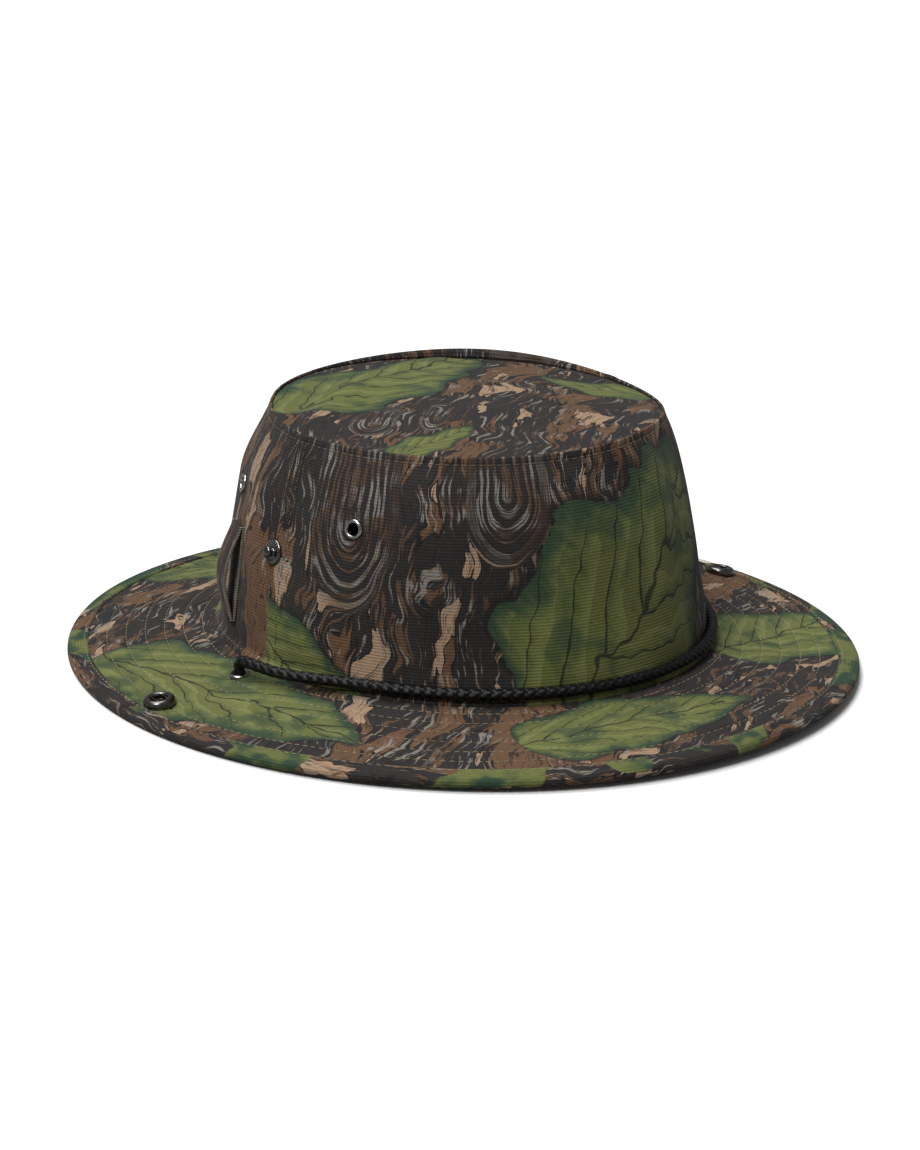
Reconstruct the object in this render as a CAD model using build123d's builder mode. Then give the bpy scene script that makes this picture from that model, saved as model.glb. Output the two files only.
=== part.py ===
"""Boonie hat: soft crown, quilted snap-up brim, vents, chin cord and slider.

Millimetres. +Z is up, the front of the hat is -Y and the wearer's right is -X. The hat stands on the
underside of its brim binding at Z = 0, centred on the Z axis.
"""
import math
import os

from build123d import *

# ---- Driving dimensions -------------------------------------------------------------------------
HEAD_X = 91.5  # half width of the crown at the brim seam, outside
HEAD_Y = 96.5  # half length of the crown at the brim seam, outside
BRIM_W = 58.5  # brim width from the crown to the bound edge
BRIM_DROP = 7.6  # how far the brim's top falls from the crown to its edge
CROWN_H = 85.5  # crown height from the brim seam to the tip seam
CLOTH = 0.9  # thickness of the crown cloth with its lining
SEWN = 0.1  # space between layers that are sewn together

PLY_T = 0.7  # thickness of each of the brim's three layers
PLY_GAP = 0.05
BINDING_W = 8.0  # how far the binding tape reaches in from the edge
BINDING_T = 0.8
BINDING_FLAT = 0.3  # depth pressed flat where the binding rests on a surface

SWEATBAND_H = 32.0
SWEATBAND_T = 0.9
SEAM_TAPE_W = 16.0
SEAM_TAPE_T = 0.5
TIP_TAPE_H = 8.0
SIDE_SEAM_GAP = 0.3  # between the front and back wall panels

FOLD_GAP = 0.4  # between a brim side and the brim's centre
FOLD_LEAN = 0.5  # how far a folded side leans in past upright, degrees

VENT_OD = 7.3
VENT_BORE = 4.5
VENT_SHARE = 0.702  # vent height above the brim seam, as a share of the crown's
VENT_SPREAD = 23.7  # angle from the side of the crown to each vent
CORD_EYELET_LIP = 1.5  # from the cord eyelet's bore to its outer edge
CORD_EYELET_PLAY = 0.4  # round the cord in its eyelet
CORD_EYELET_OUT = 10.8  # from the crown to the cord eyelet's centre
EYELET_WALL = 0.45
FLANGE_T = 0.8
WASHER_T = 0.5

STUD_FLANGE = 9.8
STUD_FLANGE_T = 0.9
STUD_BALL = 4.4
STUD_BALL_T = 2.0
STUD_NECK = 3.2
STUD_NECK_T = 1.0
SNAP_PLAY = 0.7  # between the stud's flange and the socket when the snap is closed
SOCKET_OD = 11.8
SOCKET_CLEARANCE = 0.7  # round the stud's ball in the socket
SOCKET_T = 3.0
CAP_T = 1.2
RIVET = 3.0  # diameter of the posts that hold studs and sockets
RIVET_CLEARANCE = 0.1

LOOP_W = 12.0
LOOP_H = 36.0
LOOP_LOW = 10.0  # from the brim seam up to the loop
LOOP_T = 1.2
LOOP_BULGE = 3.6
LOOP_ANGLE = 18.5  # from the side of the crown towards the back

CORD_D = 4.0
CORD_OFF_WALL = 0.3
CORD_OVER_SEAM = 4.4  # height of the cord's centre over the brim seam at the front
SLIDER_L = 14.0
SLIDER_PLAY = 0.3  # round each leg of the cord in the slider
SLIDER_WALL = 1.4  # between a bore and the slider's end
SLIDER_SKIN = 0.9  # over and under a bore
LEG_GAP = 3.6  # between the cord's two legs in the slider
KNOT_SHARE = (2.0, 1.3, 2.5)  # the knot's half width, half height and length, in cord diameters

# ---- Places worked out from them -----------------------------------------------------------------
BRIM_SLOPE = BRIM_DROP / BRIM_W
BRIM_T = 3 * PLY_T + 2 * PLY_GAP
SEAM_Z = BRIM_DROP + BRIM_T + SEWN + BINDING_T - BINDING_FLAT
TIP_Z = SEAM_Z + CROWN_H
VENT_H = VENT_SHARE * CROWN_H
CORD_EYELET_BORE = CORD_D + 2 * CORD_EYELET_PLAY
CORD_EYELET_OD = CORD_EYELET_BORE + 2 * CORD_EYELET_LIP
SOCKET_BORE = STUD_BALL + 2 * SOCKET_CLEARANCE
SLIDER_BORE = CORD_D + 2 * SLIDER_PLAY
LEG_SPACING = CORD_D + LEG_GAP
SLIDER_W = LEG_SPACING + SLIDER_BORE + 2 * SLIDER_WALL
SLIDER_H = SLIDER_BORE + 2 * SLIDER_SKIN
KNOT = tuple(share * CORD_D for share in KNOT_SHARE)
# Height above the seam as a share of the crown's height, and how far the wall has come in by there.
WALL_PROFILE = ((-0.06, 0.0), (0.0, 0.0), (0.3, 2.3), (0.585, 5.2), (0.77, 8.0), (0.91, 11.4), (1.0, 15.0))
WALL_LEVELS = [(SEAM_Z + share * CROWN_H, inset) for share, inset in WALL_PROFILE]
CROWN_LOW = SEAM_Z - BRIM_T
BORE_REACH = 20.0


def wall_inset(height):
    """How far the wall's outer face has come in at a height, and its rate of coming in."""
    for (low, at_low), (high, at_high) in zip(WALL_LEVELS, WALL_LEVELS[1:]):
        if height <= high:
            rate = (at_high - at_low) / (high - low)
            return at_low + rate * (height - low), rate
    raise ValueError("height is above the crown")


def wall_plane(angle, height):
    """Plane on the wall's outer face, its normal outwards; angle in degrees from +X about +Z."""
    inset, rate = wall_inset(height)
    a, b = HEAD_X - inset, HEAD_Y - inset
    turn = math.radians(angle)
    out = Vector(math.cos(turn) / a, math.sin(turn) / b, 0).normalized()
    along = Vector(-out.Y, out.X, 0)
    normal = (out + Vector(0, 0, rate)).normalized()
    return Plane(origin=(a * math.cos(turn), b * math.sin(turn), height), x_dir=along, z_dir=normal)


def brim_top(run):
    """Height of the brim's top face at a distance from the crown."""
    return SEAM_Z - BRIM_SLOPE * run


def brim_plane(side, run):
    """Plane on the brim's top face beside the crown, its normal upwards."""
    normal = Vector(side * BRIM_SLOPE, 0, 1).normalized()
    return Plane(origin=(side * (HEAD_X + run), 0, brim_top(run)), x_dir=(0, 1, 0), z_dir=normal)


# A folded side stands beside the crown with its snap closed. The socket sits just inside the binding, and
# each round brings the stud's height nearer to where the socket arrives.
SOCKET_RUN = BRIM_W - BINDING_W - SOCKET_OD / 2 - SEWN
SNAP_STACK = SEWN + STUD_FLANGE_T + SNAP_PLAY + SOCKET_T + SEWN
LEAN = math.radians(FOLD_LEAN)
BRIM_TILT = math.atan(BRIM_SLOPE)
STUD_H = SOCKET_RUN
for _ in range(8):
    stud_plane = wall_plane(0, SEAM_Z + STUD_H)
    snap_point = stud_plane.origin + stud_plane.z_dir * SNAP_STACK
    FOLD_X = snap_point.X + (snap_point.Z - SEAM_Z) * math.tan(LEAN)
    FOLD_Z = brim_top(FOLD_X - HEAD_X)
    SNAP_REACH = (HEAD_X + SOCKET_RUN - FOLD_X) / math.cos(BRIM_TILT)
    STUD_H += FOLD_Z + SNAP_REACH * math.cos(LEAN) - snap_point.Z
FOLD_RANGE = 90 + FOLD_LEAN + math.degrees(BRIM_TILT)

os.makedirs("parts", exist_ok=True)


def keep(builder, name):
    """Label a finished sub-part and write it to its own file."""
    builder.part.label = name
    export_step(builder.part, f"parts/{name}.step")


# ---- Crown ---------------------------------------------------------------------------------------
def crown_form(inset, low, high):
    """Solid bounded by the crown's wall moved in by inset, between two heights."""
    with BuildPart() as form:
        for height, taper in WALL_LEVELS:
            with BuildSketch(Plane.XY.offset(height)):
                Ellipse(HEAD_X - taper - inset, HEAD_Y - taper - inset)
        loft(ruled=True)
        with Locations((0, 0, (low + high) / 2)):
            Box(4 * HEAD_X, 4 * HEAD_Y, high - low, mode=Mode.INTERSECT)
    return form.part


def crown_ring(inset, thickness, low, high):
    """Band that follows the crown's wall, moved in by inset."""
    with BuildPart() as ring:
        add(crown_form(inset, low, high))
        add(crown_form(inset + thickness, low - 1, high + 1), mode=Mode.SUBTRACT)
    return ring.part


vent_places = {
    f"{side}_{end}": wall_plane(base + turn * VENT_SPREAD, SEAM_Z + VENT_H)
    for side, base, front in (("right", 180, 1), ("left", 0, -1))
    for end, turn in (("front", front), ("back", -front))
}
stud_places = {
    "right": wall_plane(180, SEAM_Z + STUD_H),
    "left": wall_plane(0, SEAM_Z + STUD_H),
}
VENT_BARREL = VENT_BORE / 2 + EYELET_WALL
CORD_BARREL = CORD_EYELET_BORE / 2 + EYELET_WALL


def pierce(places, radius):
    """Cut a round hole through the part at each plane."""
    for place in places:
        with BuildSketch(place) as hole:
            Circle(radius)
        extrude(hole.sketch, amount=BORE_REACH, both=True, mode=Mode.SUBTRACT)


def wall_panel(name, sign):
    """One half of the wall, pierced for its vents and notched for the studs."""
    with BuildPart() as panel:
        add(crown_ring(0, CLOTH, CROWN_LOW, TIP_Z - CLOTH - SEWN))
        with Locations((0, sign * (SIDE_SEAM_GAP / 2 + 2 * HEAD_Y), TIP_Z / 2)):
            Box(4 * HEAD_X, 4 * HEAD_Y, 2 * TIP_Z, mode=Mode.INTERSECT)
        pierce(vent_places.values(), VENT_BARREL + SEWN)
        pierce(stud_places.values(), RIVET / 2 + RIVET_CLEARANCE)
    keep(panel, name)


wall_panel("crown_front_panel", -1)
wall_panel("crown_back_panel", 1)

with BuildPart() as crown_tip:
    add(crown_form(0, TIP_Z - CLOTH, TIP_Z))
keep(crown_tip, "crown_tip")

LINING = CLOTH + SEWN
with BuildPart() as tip_seam_tape:
    add(crown_ring(LINING, SEAM_TAPE_T, TIP_Z - LINING - TIP_TAPE_H, TIP_Z - LINING))
keep(tip_seam_tape, "tip_seam_tape")

TAPE_LOW = CROWN_LOW + SWEATBAND_H + 1
TAPE_HIGH = TIP_Z - LINING - TIP_TAPE_H - 1
for side, sign in (("right", -1), ("left", 1)):
    with BuildPart() as side_seam_tape:
        add(crown_ring(LINING, SEAM_TAPE_T, TAPE_LOW, TAPE_HIGH))
        with Locations((sign * 2 * HEAD_X, 0, TIP_Z / 2)):
            Box(4 * HEAD_X, SEAM_TAPE_W, 2 * TIP_Z, mode=Mode.INTERSECT)
        pierce(stud_places.values(), STUD_FLANGE / 2 + SEWN)
    keep(side_seam_tape, f"{side}_side_seam_tape")

with BuildPart() as sweatband:
    add(crown_ring(LINING, SWEATBAND_T, CROWN_LOW, CROWN_LOW + SWEATBAND_H))
keep(sweatband, "sweatband")


# ---- Brim ----------------------------------------------------------------------------------------
def brim_cone(depth):
    """Solid below a face that is parallel to the brim's top and lower by depth."""
    reach = BRIM_W + 2 * BINDING_W
    with BuildPart() as cone:
        for run, height in ((reach, -2 * SEAM_Z), (reach, brim_top(reach)), (-BINDING_W, brim_top(-BINDING_W))):
            with BuildSketch(Plane.XY.offset(height - depth)):
                Ellipse(HEAD_X + run, HEAD_Y + run)
        loft(ruled=True)
    return cone.part


def brim_band(top, bottom, inner, outer):
    """Sloping band between two depths and two distances from the crown."""
    with BuildPart() as band:
        add(brim_cone(top))
        add(brim_cone(bottom), mode=Mode.SUBTRACT)
        with BuildSketch(Plane.XY.offset(-2 * SEAM_Z)):
            Ellipse(HEAD_X + outer, HEAD_Y + outer)
            Ellipse(HEAD_X + inner, HEAD_Y + inner, mode=Mode.SUBTRACT)
        extrude(amount=4 * SEAM_Z, mode=Mode.INTERSECT)
    return band.part


def centre_only():
    """Keep what lies between the two fold lines."""
    Box(2 * FOLD_X - FOLD_GAP, 4 * HEAD_Y, 4 * SEAM_Z, mode=Mode.INTERSECT)


def side_only(sign):
    """Keep what lies outside one fold line."""
    with Locations((sign * (FOLD_X + FOLD_GAP / 2 + HEAD_X), 0, 0)):
        Box(2 * HEAD_X, 4 * HEAD_Y, 4 * SEAM_Z, mode=Mode.INTERSECT)


EDGE_FOLD = BINDING_T + SEWN
LAYERS = ("brim_top_ply", "brim_interlining", "brim_bottom_ply")
for index, name in enumerate(LAYERS):
    top = index * (PLY_T + PLY_GAP)
    layer = brim_band(top, top + PLY_T, SEWN, BRIM_W - EDGE_FOLD)
    with BuildPart() as centre:
        add(layer)
        centre_only()
    keep(centre, name)
    for side, sign in (("right", -1), ("left", 1)):
        with BuildPart() as flap:
            add(layer)
            side_only(sign)
            pierce([brim_plane(sign, CORD_EYELET_OUT)], CORD_BARREL + SEWN)
            pierce([brim_plane(sign, SOCKET_RUN)], RIVET / 2 + RIVET_CLEARANCE)
        keep(flap, f"{name}_{side}")

with BuildPart() as binding:
    add(brim_band(-EDGE_FOLD, BRIM_T + EDGE_FOLD, BRIM_W - BINDING_W, BRIM_W))
    add(brim_band(-SEWN, BRIM_T + SEWN, BRIM_W - 2 * BINDING_W, BRIM_W - BINDING_T), mode=Mode.SUBTRACT)
    with Locations((0, 0, SEAM_Z)):
        Box(4 * HEAD_X, 4 * HEAD_Y, 2 * SEAM_Z, mode=Mode.INTERSECT)

for end, sign in (("front", -1), ("back", 1)):
    with BuildPart() as binding_arc:
        add(binding.part)
        centre_only()
        with Locations((0, sign * 2 * HEAD_Y, 0)):
            Box(4 * HEAD_X, 4 * HEAD_Y, 4 * SEAM_Z, mode=Mode.INTERSECT)
    keep(binding_arc, f"brim_binding_{end}")

for side, sign in (("right", -1), ("left", 1)):
    with BuildPart() as binding_side:
        add(binding.part)
        side_only(sign)
    keep(binding_side, f"brim_binding_{side}")


# ---- Eyelets -------------------------------------------------------------------------------------
def eyelet(name, place, outer, bore, cloth):
    """Flanged eyelet set from outside through cloth, and the washer that it is rolled over."""
    barrel = bore / 2 + EYELET_WALL
    washer_face = -(cloth + SEWN)
    roll_face = washer_face - WASHER_T - SEWN
    with BuildPart() as ring:
        with BuildSketch(place.offset(SEWN)):
            Circle(outer / 2)
        extrude(amount=FLANGE_T)
        fillet(ring.faces().sort_by(SortBy.AREA)[-1].edges(), FLANGE_T / 2 - SEWN)
        with BuildSketch(place.offset(SEWN)):
            Circle(barrel)
        extrude(amount=roll_face - EYELET_WALL - SEWN)
        with BuildSketch(place.offset(roll_face)):
            Circle(barrel + EYELET_WALL)
        extrude(amount=-EYELET_WALL)
        pierce([place], bore / 2)
    keep(ring, name)
    with BuildPart() as washer:
        with BuildSketch(place.offset(washer_face)):
            Circle(outer / 2)
            Circle(barrel + SEWN, mode=Mode.SUBTRACT)
        extrude(amount=-WASHER_T)
    keep(washer, f"{name}_washer")


for corner, place in vent_places.items():
    eyelet(f"{corner}_vent_eyelet", place, VENT_OD, VENT_BORE, CLOTH)
for side, sign in (("right", -1), ("left", 1)):
    eyelet(f"{side}_cord_eyelet", brim_plane(sign, CORD_EYELET_OUT), CORD_EYELET_OD, CORD_EYELET_BORE, BRIM_T)

# ---- Snaps ---------------------------------------------------------------------------------------
for side, sign in (("right", -1), ("left", 1)):
    on_wall = stud_places[side]
    with BuildPart() as stud:
        with BuildSketch(on_wall.offset(SEWN)):
            Circle(STUD_FLANGE / 2)
        extrude(amount=STUD_FLANGE_T)
        with BuildSketch(on_wall.offset(SEWN + STUD_FLANGE_T)):
            Circle(STUD_NECK / 2)
        extrude(amount=STUD_NECK_T)
        with BuildSketch(on_wall.offset(SEWN + STUD_FLANGE_T + STUD_NECK_T)):
            Circle(STUD_BALL / 2)
        extrude(amount=STUD_BALL_T)
        fillet(stud.faces().sort_by(Axis(on_wall.origin, on_wall.z_dir))[-1].edges(), STUD_BALL_T / 2)
        pierce([on_wall], RIVET / 2 - EYELET_WALL)
    keep(stud, f"{side}_crown_stud")

    with BuildPart() as stud_post:
        with BuildSketch(on_wall.offset(-LINING)):
            Circle(STUD_FLANGE / 2)
        extrude(amount=-WASHER_T)
        with BuildSketch(on_wall.offset(-LINING)):
            Circle(RIVET / 2 - EYELET_WALL - RIVET_CLEARANCE)
        extrude(amount=LINING + SEWN + STUD_FLANGE_T + STUD_NECK_T)
    keep(stud_post, f"{side}_stud_post")

    on_brim = brim_plane(sign, SOCKET_RUN)
    with BuildPart() as socket:
        with BuildSketch(on_brim.offset(SEWN)):
            Circle(SOCKET_OD / 2)
        extrude(amount=SOCKET_T)
        fillet(socket.faces().sort_by(Axis(on_brim.origin, on_brim.z_dir))[-1].edges(), SOCKET_T / 3)
        with BuildSketch(on_brim.offset(SEWN)):
            Circle(SOCKET_BORE / 2)
        extrude(amount=SOCKET_T, mode=Mode.SUBTRACT)
    keep(socket, f"{side}_brim_socket")

    with BuildPart() as cap:
        with BuildSketch(on_brim.offset(-BRIM_T - SEWN)):
            Circle(SOCKET_OD / 2)
        extrude(amount=-CAP_T)
        fillet(cap.faces().sort_by(Axis(on_brim.origin, on_brim.z_dir))[0].edges(), CAP_T / 2)
        with BuildSketch(on_brim.offset(-BRIM_T - SEWN)):
            Circle(RIVET / 2)
        extrude(amount=BRIM_T + 2 * SEWN)
        with BuildSketch(on_brim.offset(SEWN)):
            Circle(SOCKET_BORE / 2 - SEWN)
        extrude(amount=SEWN)
    keep(cap, f"{side}_socket_cap")

# ---- Keeper loop on the wall ---------------------------------------------------------------------
# A strip with flat sewn ends and a bowed middle, held off the wall. Local X runs outwards, Y upwards.
loop_mid = wall_plane(180 - LOOP_ANGLE, SEAM_Z + LOOP_LOW + LOOP_H / 2)
LOOP_END = 6.0
loop_side = Plane(origin=loop_mid.origin, x_dir=loop_mid.z_dir, z_dir=loop_mid.z_dir.cross(loop_mid.y_dir))
with BuildPart() as keeper_loop:
    with BuildSketch(loop_side):
        with BuildLine() as strip:
            off = SEWN + LOOP_T / 2
            low_end = Line((off, -LOOP_H / 2), (off, -LOOP_H / 2 + LOOP_END))
            high_end = Line((off, LOOP_H / 2 - LOOP_END), (off, LOOP_H / 2))
            Spline(
                low_end @ 1,
                (off + LOOP_BULGE, 0),
                high_end @ 0,
                tangents=((0, 1), (0, 1)),
            )
        trace(line_width=LOOP_T)
    extrude(amount=LOOP_W / 2, both=True)
keep(keeper_loop, "keeper_loop")


# ---- Chin cord -----------------------------------------------------------------------------------
def corner_radii(points):
    """As large a radius at each corner as its shorter run allows; an end run has one arc only."""
    radii = []
    last = len(points) - 2
    for corner in range(1, len(points) - 1):
        first = points[corner] - points[corner - 1]
        second = points[corner + 1] - points[corner]
        share = 0.7 if corner == 1 else 0.45, 0.7 if corner == last else 0.45
        room = min(share[0] * first.length, share[1] * second.length)
        radii.append(room / math.tan(math.radians(first.get_angle(second) / 2)))
    return radii


def cord_tube(name, points):
    """Round cord along straight runs joined by tangent arcs."""
    points = [Vector(*point) for point in points]
    radii = corner_radii(points)
    with BuildPart() as tube:
        with BuildLine() as route:
            FilletPolyline(*points, radius=radii)
        path = route.wire()
        with BuildSketch(Plane(origin=path @ 0, z_dir=path % 0)):
            Circle(CORD_D / 2)
        sweep(path=path)
    length = path.length
    share = tube.part.volume / (math.pi * CORD_D**2 / 4 * length)
    print(f"{name}: {length:.1f} mm, volume share {share:.4f}, radii {[round(r, 1) for r in radii]}")
    keep(tube, name)


# Round the front of the crown the cord's corners stand on an oval outside the wall.
BAND_STEPS = 9
BAND_END = 26.0  # angle from the side of the crown where the cord leaves the wall
band_step = (180 - 2 * BAND_END) / BAND_STEPS
band_swell = (HEAD_X + HEAD_Y) / 2 * (1 - math.cos(math.radians(band_step / 2)))
band_off = CORD_D / 2 + CORD_OFF_WALL + band_swell
band_z = SEAM_Z + CORD_OVER_SEAM
band_points = []
for step in range(BAND_STEPS + 1):
    turn = math.radians(180 + BAND_END + step * band_step)
    band_points.append(Vector((HEAD_X + band_off) * math.cos(turn), (HEAD_Y + band_off) * math.sin(turn), band_z))
right_join = (band_points[0] + band_points[1]) / 2
left_join = (band_points[-1] + band_points[-2]) / 2
cord_tube("chin_cord_front", [right_join, *band_points[1:-1], left_join])

EYELET_X = HEAD_X + CORD_EYELET_OUT
FLOOR = CORD_D / 2 + 0.2
LEAD_TOP = SEAM_Z + CORD_D
HALF_WAY = (LEAD_TOP + FLOOR) / 2


def in_bore(sign, height):
    """Point on the cord eyelet's axis."""
    return (sign * (EYELET_X + BRIM_SLOPE * (height - brim_top(CORD_EYELET_OUT))), 0, height)


for side, sign, join, leave in (
    ("right", -1, right_join, band_points[0]),
    ("left", 1, left_join, band_points[-1]),
):
    lead = [join, leave, (sign * (EYELET_X - 4), -23, band_z - 0.7), (sign * EYELET_X, -9, LEAD_TOP)]
    cord_tube(f"chin_cord_{side}_lead", [*lead, in_bore(sign, LEAD_TOP), in_bore(sign, HALF_WAY)])

# Under the hat each leg wanders in from its eyelet to the slider and ends in the knot beyond it.
STRAIGHT_Z = SLIDER_H / 2 + SEWN
HALF_SPACING = LEG_SPACING / 2
KNOT_Y = -62.0
NEAR_FLOOR = FLOOR + 0.3
RIGHT_LEG = [
    in_bore(-1, HALF_WAY),
    in_bore(-1, FLOOR),
    (-91, 2, FLOOR),
    (-76, 13, FLOOR),
    (-68, 38, FLOOR),
    (-48, 62, FLOOR),
    (-24, 70, FLOOR),
    (-8, 54, NEAR_FLOOR),
    (-HALF_SPACING - SEWN, 30, STRAIGHT_Z),
    (-HALF_SPACING, 0, STRAIGHT_Z),
    (-HALF_SPACING, -31, STRAIGHT_Z),
    (-HALF_SPACING - SEWN, KNOT_Y, STRAIGHT_Z),
]
LEFT_LEG = [
    in_bore(1, HALF_WAY),
    in_bore(1, FLOOR),
    (91, -1, FLOOR),
    (75, 5, FLOOR),
    (62, 24, FLOOR),
    (60, 48, FLOOR),
    (42, 68, FLOOR),
    (20, 70, FLOOR),
    (7, 53, NEAR_FLOOR),
    (HALF_SPACING + SEWN, 28, STRAIGHT_Z),
    (HALF_SPACING, -2, STRAIGHT_Z),
    (HALF_SPACING, -32, STRAIGHT_Z),
    (HALF_SPACING + SEWN, KNOT_Y, STRAIGHT_Z),
]
cord_tube("chin_cord_right_leg", RIGHT_LEG)
cord_tube("chin_cord_left_leg", LEFT_LEG)

with BuildPart() as knot:
    with BuildSketch(Plane.XZ.offset(SEWN - KNOT_Y)):
        with Locations((0, KNOT[1])):
            Ellipse(KNOT[0], KNOT[1])
    extrude(amount=KNOT[2])
    fillet(knot.faces().sort_by(Axis.Y)[0].edges(), KNOT[1] / 2)
keep(knot, "chin_cord_knot")

SLIDER_Y = -36.0
with BuildPart() as slider:
    with BuildSketch(Plane.XZ.offset(-SLIDER_Y - SLIDER_L / 2)):
        with Locations((0, STRAIGHT_Z)):
            SlotOverall(SLIDER_W, SLIDER_H - 2 * SEWN)
    extrude(amount=SLIDER_L)
    for x in (-HALF_SPACING, HALF_SPACING):
        pierce([Plane(origin=(x, SLIDER_Y, STRAIGHT_Z), z_dir=(0, 1, 0))], SLIDER_BORE / 2)
keep(slider, "chin_slider")

print(f"fold line at X {FOLD_X:.3f}, Z {FOLD_Z:.3f}, range {FOLD_RANGE:.2f} degrees")
print(f"socket {SOCKET_RUN:.2f} out from the crown, {SNAP_REACH:.2f} from the fold line")
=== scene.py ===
"""Boonie hat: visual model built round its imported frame. Metres, +Z up, the front of the hat is -Y."""

import math

import bmesh
import bpy
import numpy as np
from mathutils import Matrix, Vector


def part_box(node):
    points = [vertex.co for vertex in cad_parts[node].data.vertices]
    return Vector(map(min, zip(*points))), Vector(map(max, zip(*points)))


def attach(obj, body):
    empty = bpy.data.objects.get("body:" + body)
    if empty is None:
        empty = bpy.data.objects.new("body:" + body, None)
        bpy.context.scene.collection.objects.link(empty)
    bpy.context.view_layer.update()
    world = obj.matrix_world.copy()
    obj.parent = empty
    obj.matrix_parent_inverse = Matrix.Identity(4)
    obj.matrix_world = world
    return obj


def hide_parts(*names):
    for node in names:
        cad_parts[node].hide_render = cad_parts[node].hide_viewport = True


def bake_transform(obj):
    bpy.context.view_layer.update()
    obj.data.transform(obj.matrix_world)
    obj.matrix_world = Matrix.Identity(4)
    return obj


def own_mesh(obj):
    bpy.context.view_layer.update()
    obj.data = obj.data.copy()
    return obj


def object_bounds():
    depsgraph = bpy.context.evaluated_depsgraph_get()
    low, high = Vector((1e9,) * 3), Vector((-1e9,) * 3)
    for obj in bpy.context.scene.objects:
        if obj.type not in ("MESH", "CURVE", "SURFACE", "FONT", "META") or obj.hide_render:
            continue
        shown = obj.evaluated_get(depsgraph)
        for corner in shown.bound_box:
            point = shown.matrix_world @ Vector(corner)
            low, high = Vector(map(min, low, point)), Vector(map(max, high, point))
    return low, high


bl_info = {
    "name": "Boonie Hat",
    "version": (1, 0, 0),
    "blender": (4, 5, 0),
    "location": "3D View > Sidebar > Hat",
    "description": "Builds a soft sun hat with a quilted snap-up brim, eyelets and a braided chin cord",
    "category": "Add Mesh",
}

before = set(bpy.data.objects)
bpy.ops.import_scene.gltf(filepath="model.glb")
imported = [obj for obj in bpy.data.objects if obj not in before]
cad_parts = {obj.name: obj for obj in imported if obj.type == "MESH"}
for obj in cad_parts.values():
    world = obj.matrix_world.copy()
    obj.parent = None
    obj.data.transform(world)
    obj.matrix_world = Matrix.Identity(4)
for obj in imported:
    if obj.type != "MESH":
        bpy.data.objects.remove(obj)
CAD_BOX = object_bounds()
MM = 0.001

# ---- Places taken from the frame -----------------------------------------------------------------
WALL_LOW, WALL_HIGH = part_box("crown_front_panel")
HEAD_X, HEAD_Y = WALL_HIGH.x, -WALL_LOW.y
SEAM_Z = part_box("brim_top_ply")[1].z
TIP_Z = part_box("crown_tip")[1].z
CROWN_H = TIP_Z - SEAM_Z
BRIM_W = CAD_BOX[1].x - HEAD_X
BRIM_DROP = 7.6 * MM  # from the crown to the brim's edge
BRIM_SLOPE = BRIM_DROP / BRIM_W
BRIM_T = 2.2 * MM
BINDING_W = 8.0 * MM
WALL_SHARES = (0.0, 0.3, 0.585, 0.77, 0.91, 1.0)  # of the wall's height
WALL_INSETS = (0.0, 2.3, 5.2, 8.0, 11.4, 15.0)  # millimetres in from the wall's foot at those shares
WALL_FIT = np.polyfit(WALL_SHARES, np.array(WALL_INSETS) * MM, 4)
RIGHT, LEFT = math.pi, 0.0  # angles of the side seams
LOOP_CLOTH = 0.73  # where on the printed cloth the keeper loop is cut
VENT_HOLE_R = 2.5 * MM
BACK_CLOTH = 0.4  # the back panel is cut this far along the printed cloth from the front one


def srgb(red, green, blue):
    """Linear colour of an 8-bit screen colour."""
    return tuple(((c / 255 + 0.055) / 1.055) ** 2.4 for c in (red, green, blue))


class HatSizes(bpy.types.PropertyGroup):
    rim_roll: bpy.props.FloatProperty(
        name="Rim roll", description="Height of the rolled rim over the tip seam at the back",
        default=4.6 * MM, min=0, max=8 * MM, subtype="DISTANCE")
    ledge: bpy.props.FloatProperty(
        name="Base ledge", description="Width of the turned ledge where the wall meets the brim",
        default=2.4 * MM, min=0, max=5 * MM, subtype="DISTANCE")
    brim_wave: bpy.props.FloatProperty(
        name="Brim wave", description="Height of the brim's slow waves between the crown and the edge",
        default=0.9 * MM, min=0, max=4 * MM, subtype="DISTANCE")
    row_pitch: bpy.props.FloatProperty(
        name="Quilting pitch", description="Space between the brim's stitched rows",
        default=7.3 * MM, min=4 * MM, max=12 * MM, subtype="DISTANCE")
    stitch: bpy.props.FloatProperty(
        name="Stitch length", description="Length of one stitch",
        default=2.3 * MM, min=1 * MM, max=5 * MM, subtype="DISTANCE")
    thread: bpy.props.FloatProperty(
        name="Thread", description="Thickness of the sewing thread",
        default=0.34 * MM, min=0.1 * MM, max=1 * MM, subtype="DISTANCE")
    cord: bpy.props.FloatProperty(
        name="Cord", description="Diameter of the braided chin cord",
        default=4.4 * MM, min=2 * MM, max=6 * MM, subtype="DISTANCE")
    loop_bow: bpy.props.FloatProperty(
        name="Loop bow", description="How far the keeper loop's outer strap stands off the wall",
        default=4.4 * MM, min=1 * MM, max=8 * MM, subtype="DISTANCE")
    cloth: bpy.props.FloatProperty(
        name="Cloth", description="Thickness of the crown's cloth with its lining",
        default=0.9 * MM, min=0.4 * MM, max=2 * MM, subtype="DISTANCE")


def colour(name, description, default):
    return bpy.props.FloatVectorProperty(
        name=name, description=description, default=srgb(*default), subtype="COLOR", min=0, max=1)


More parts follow.
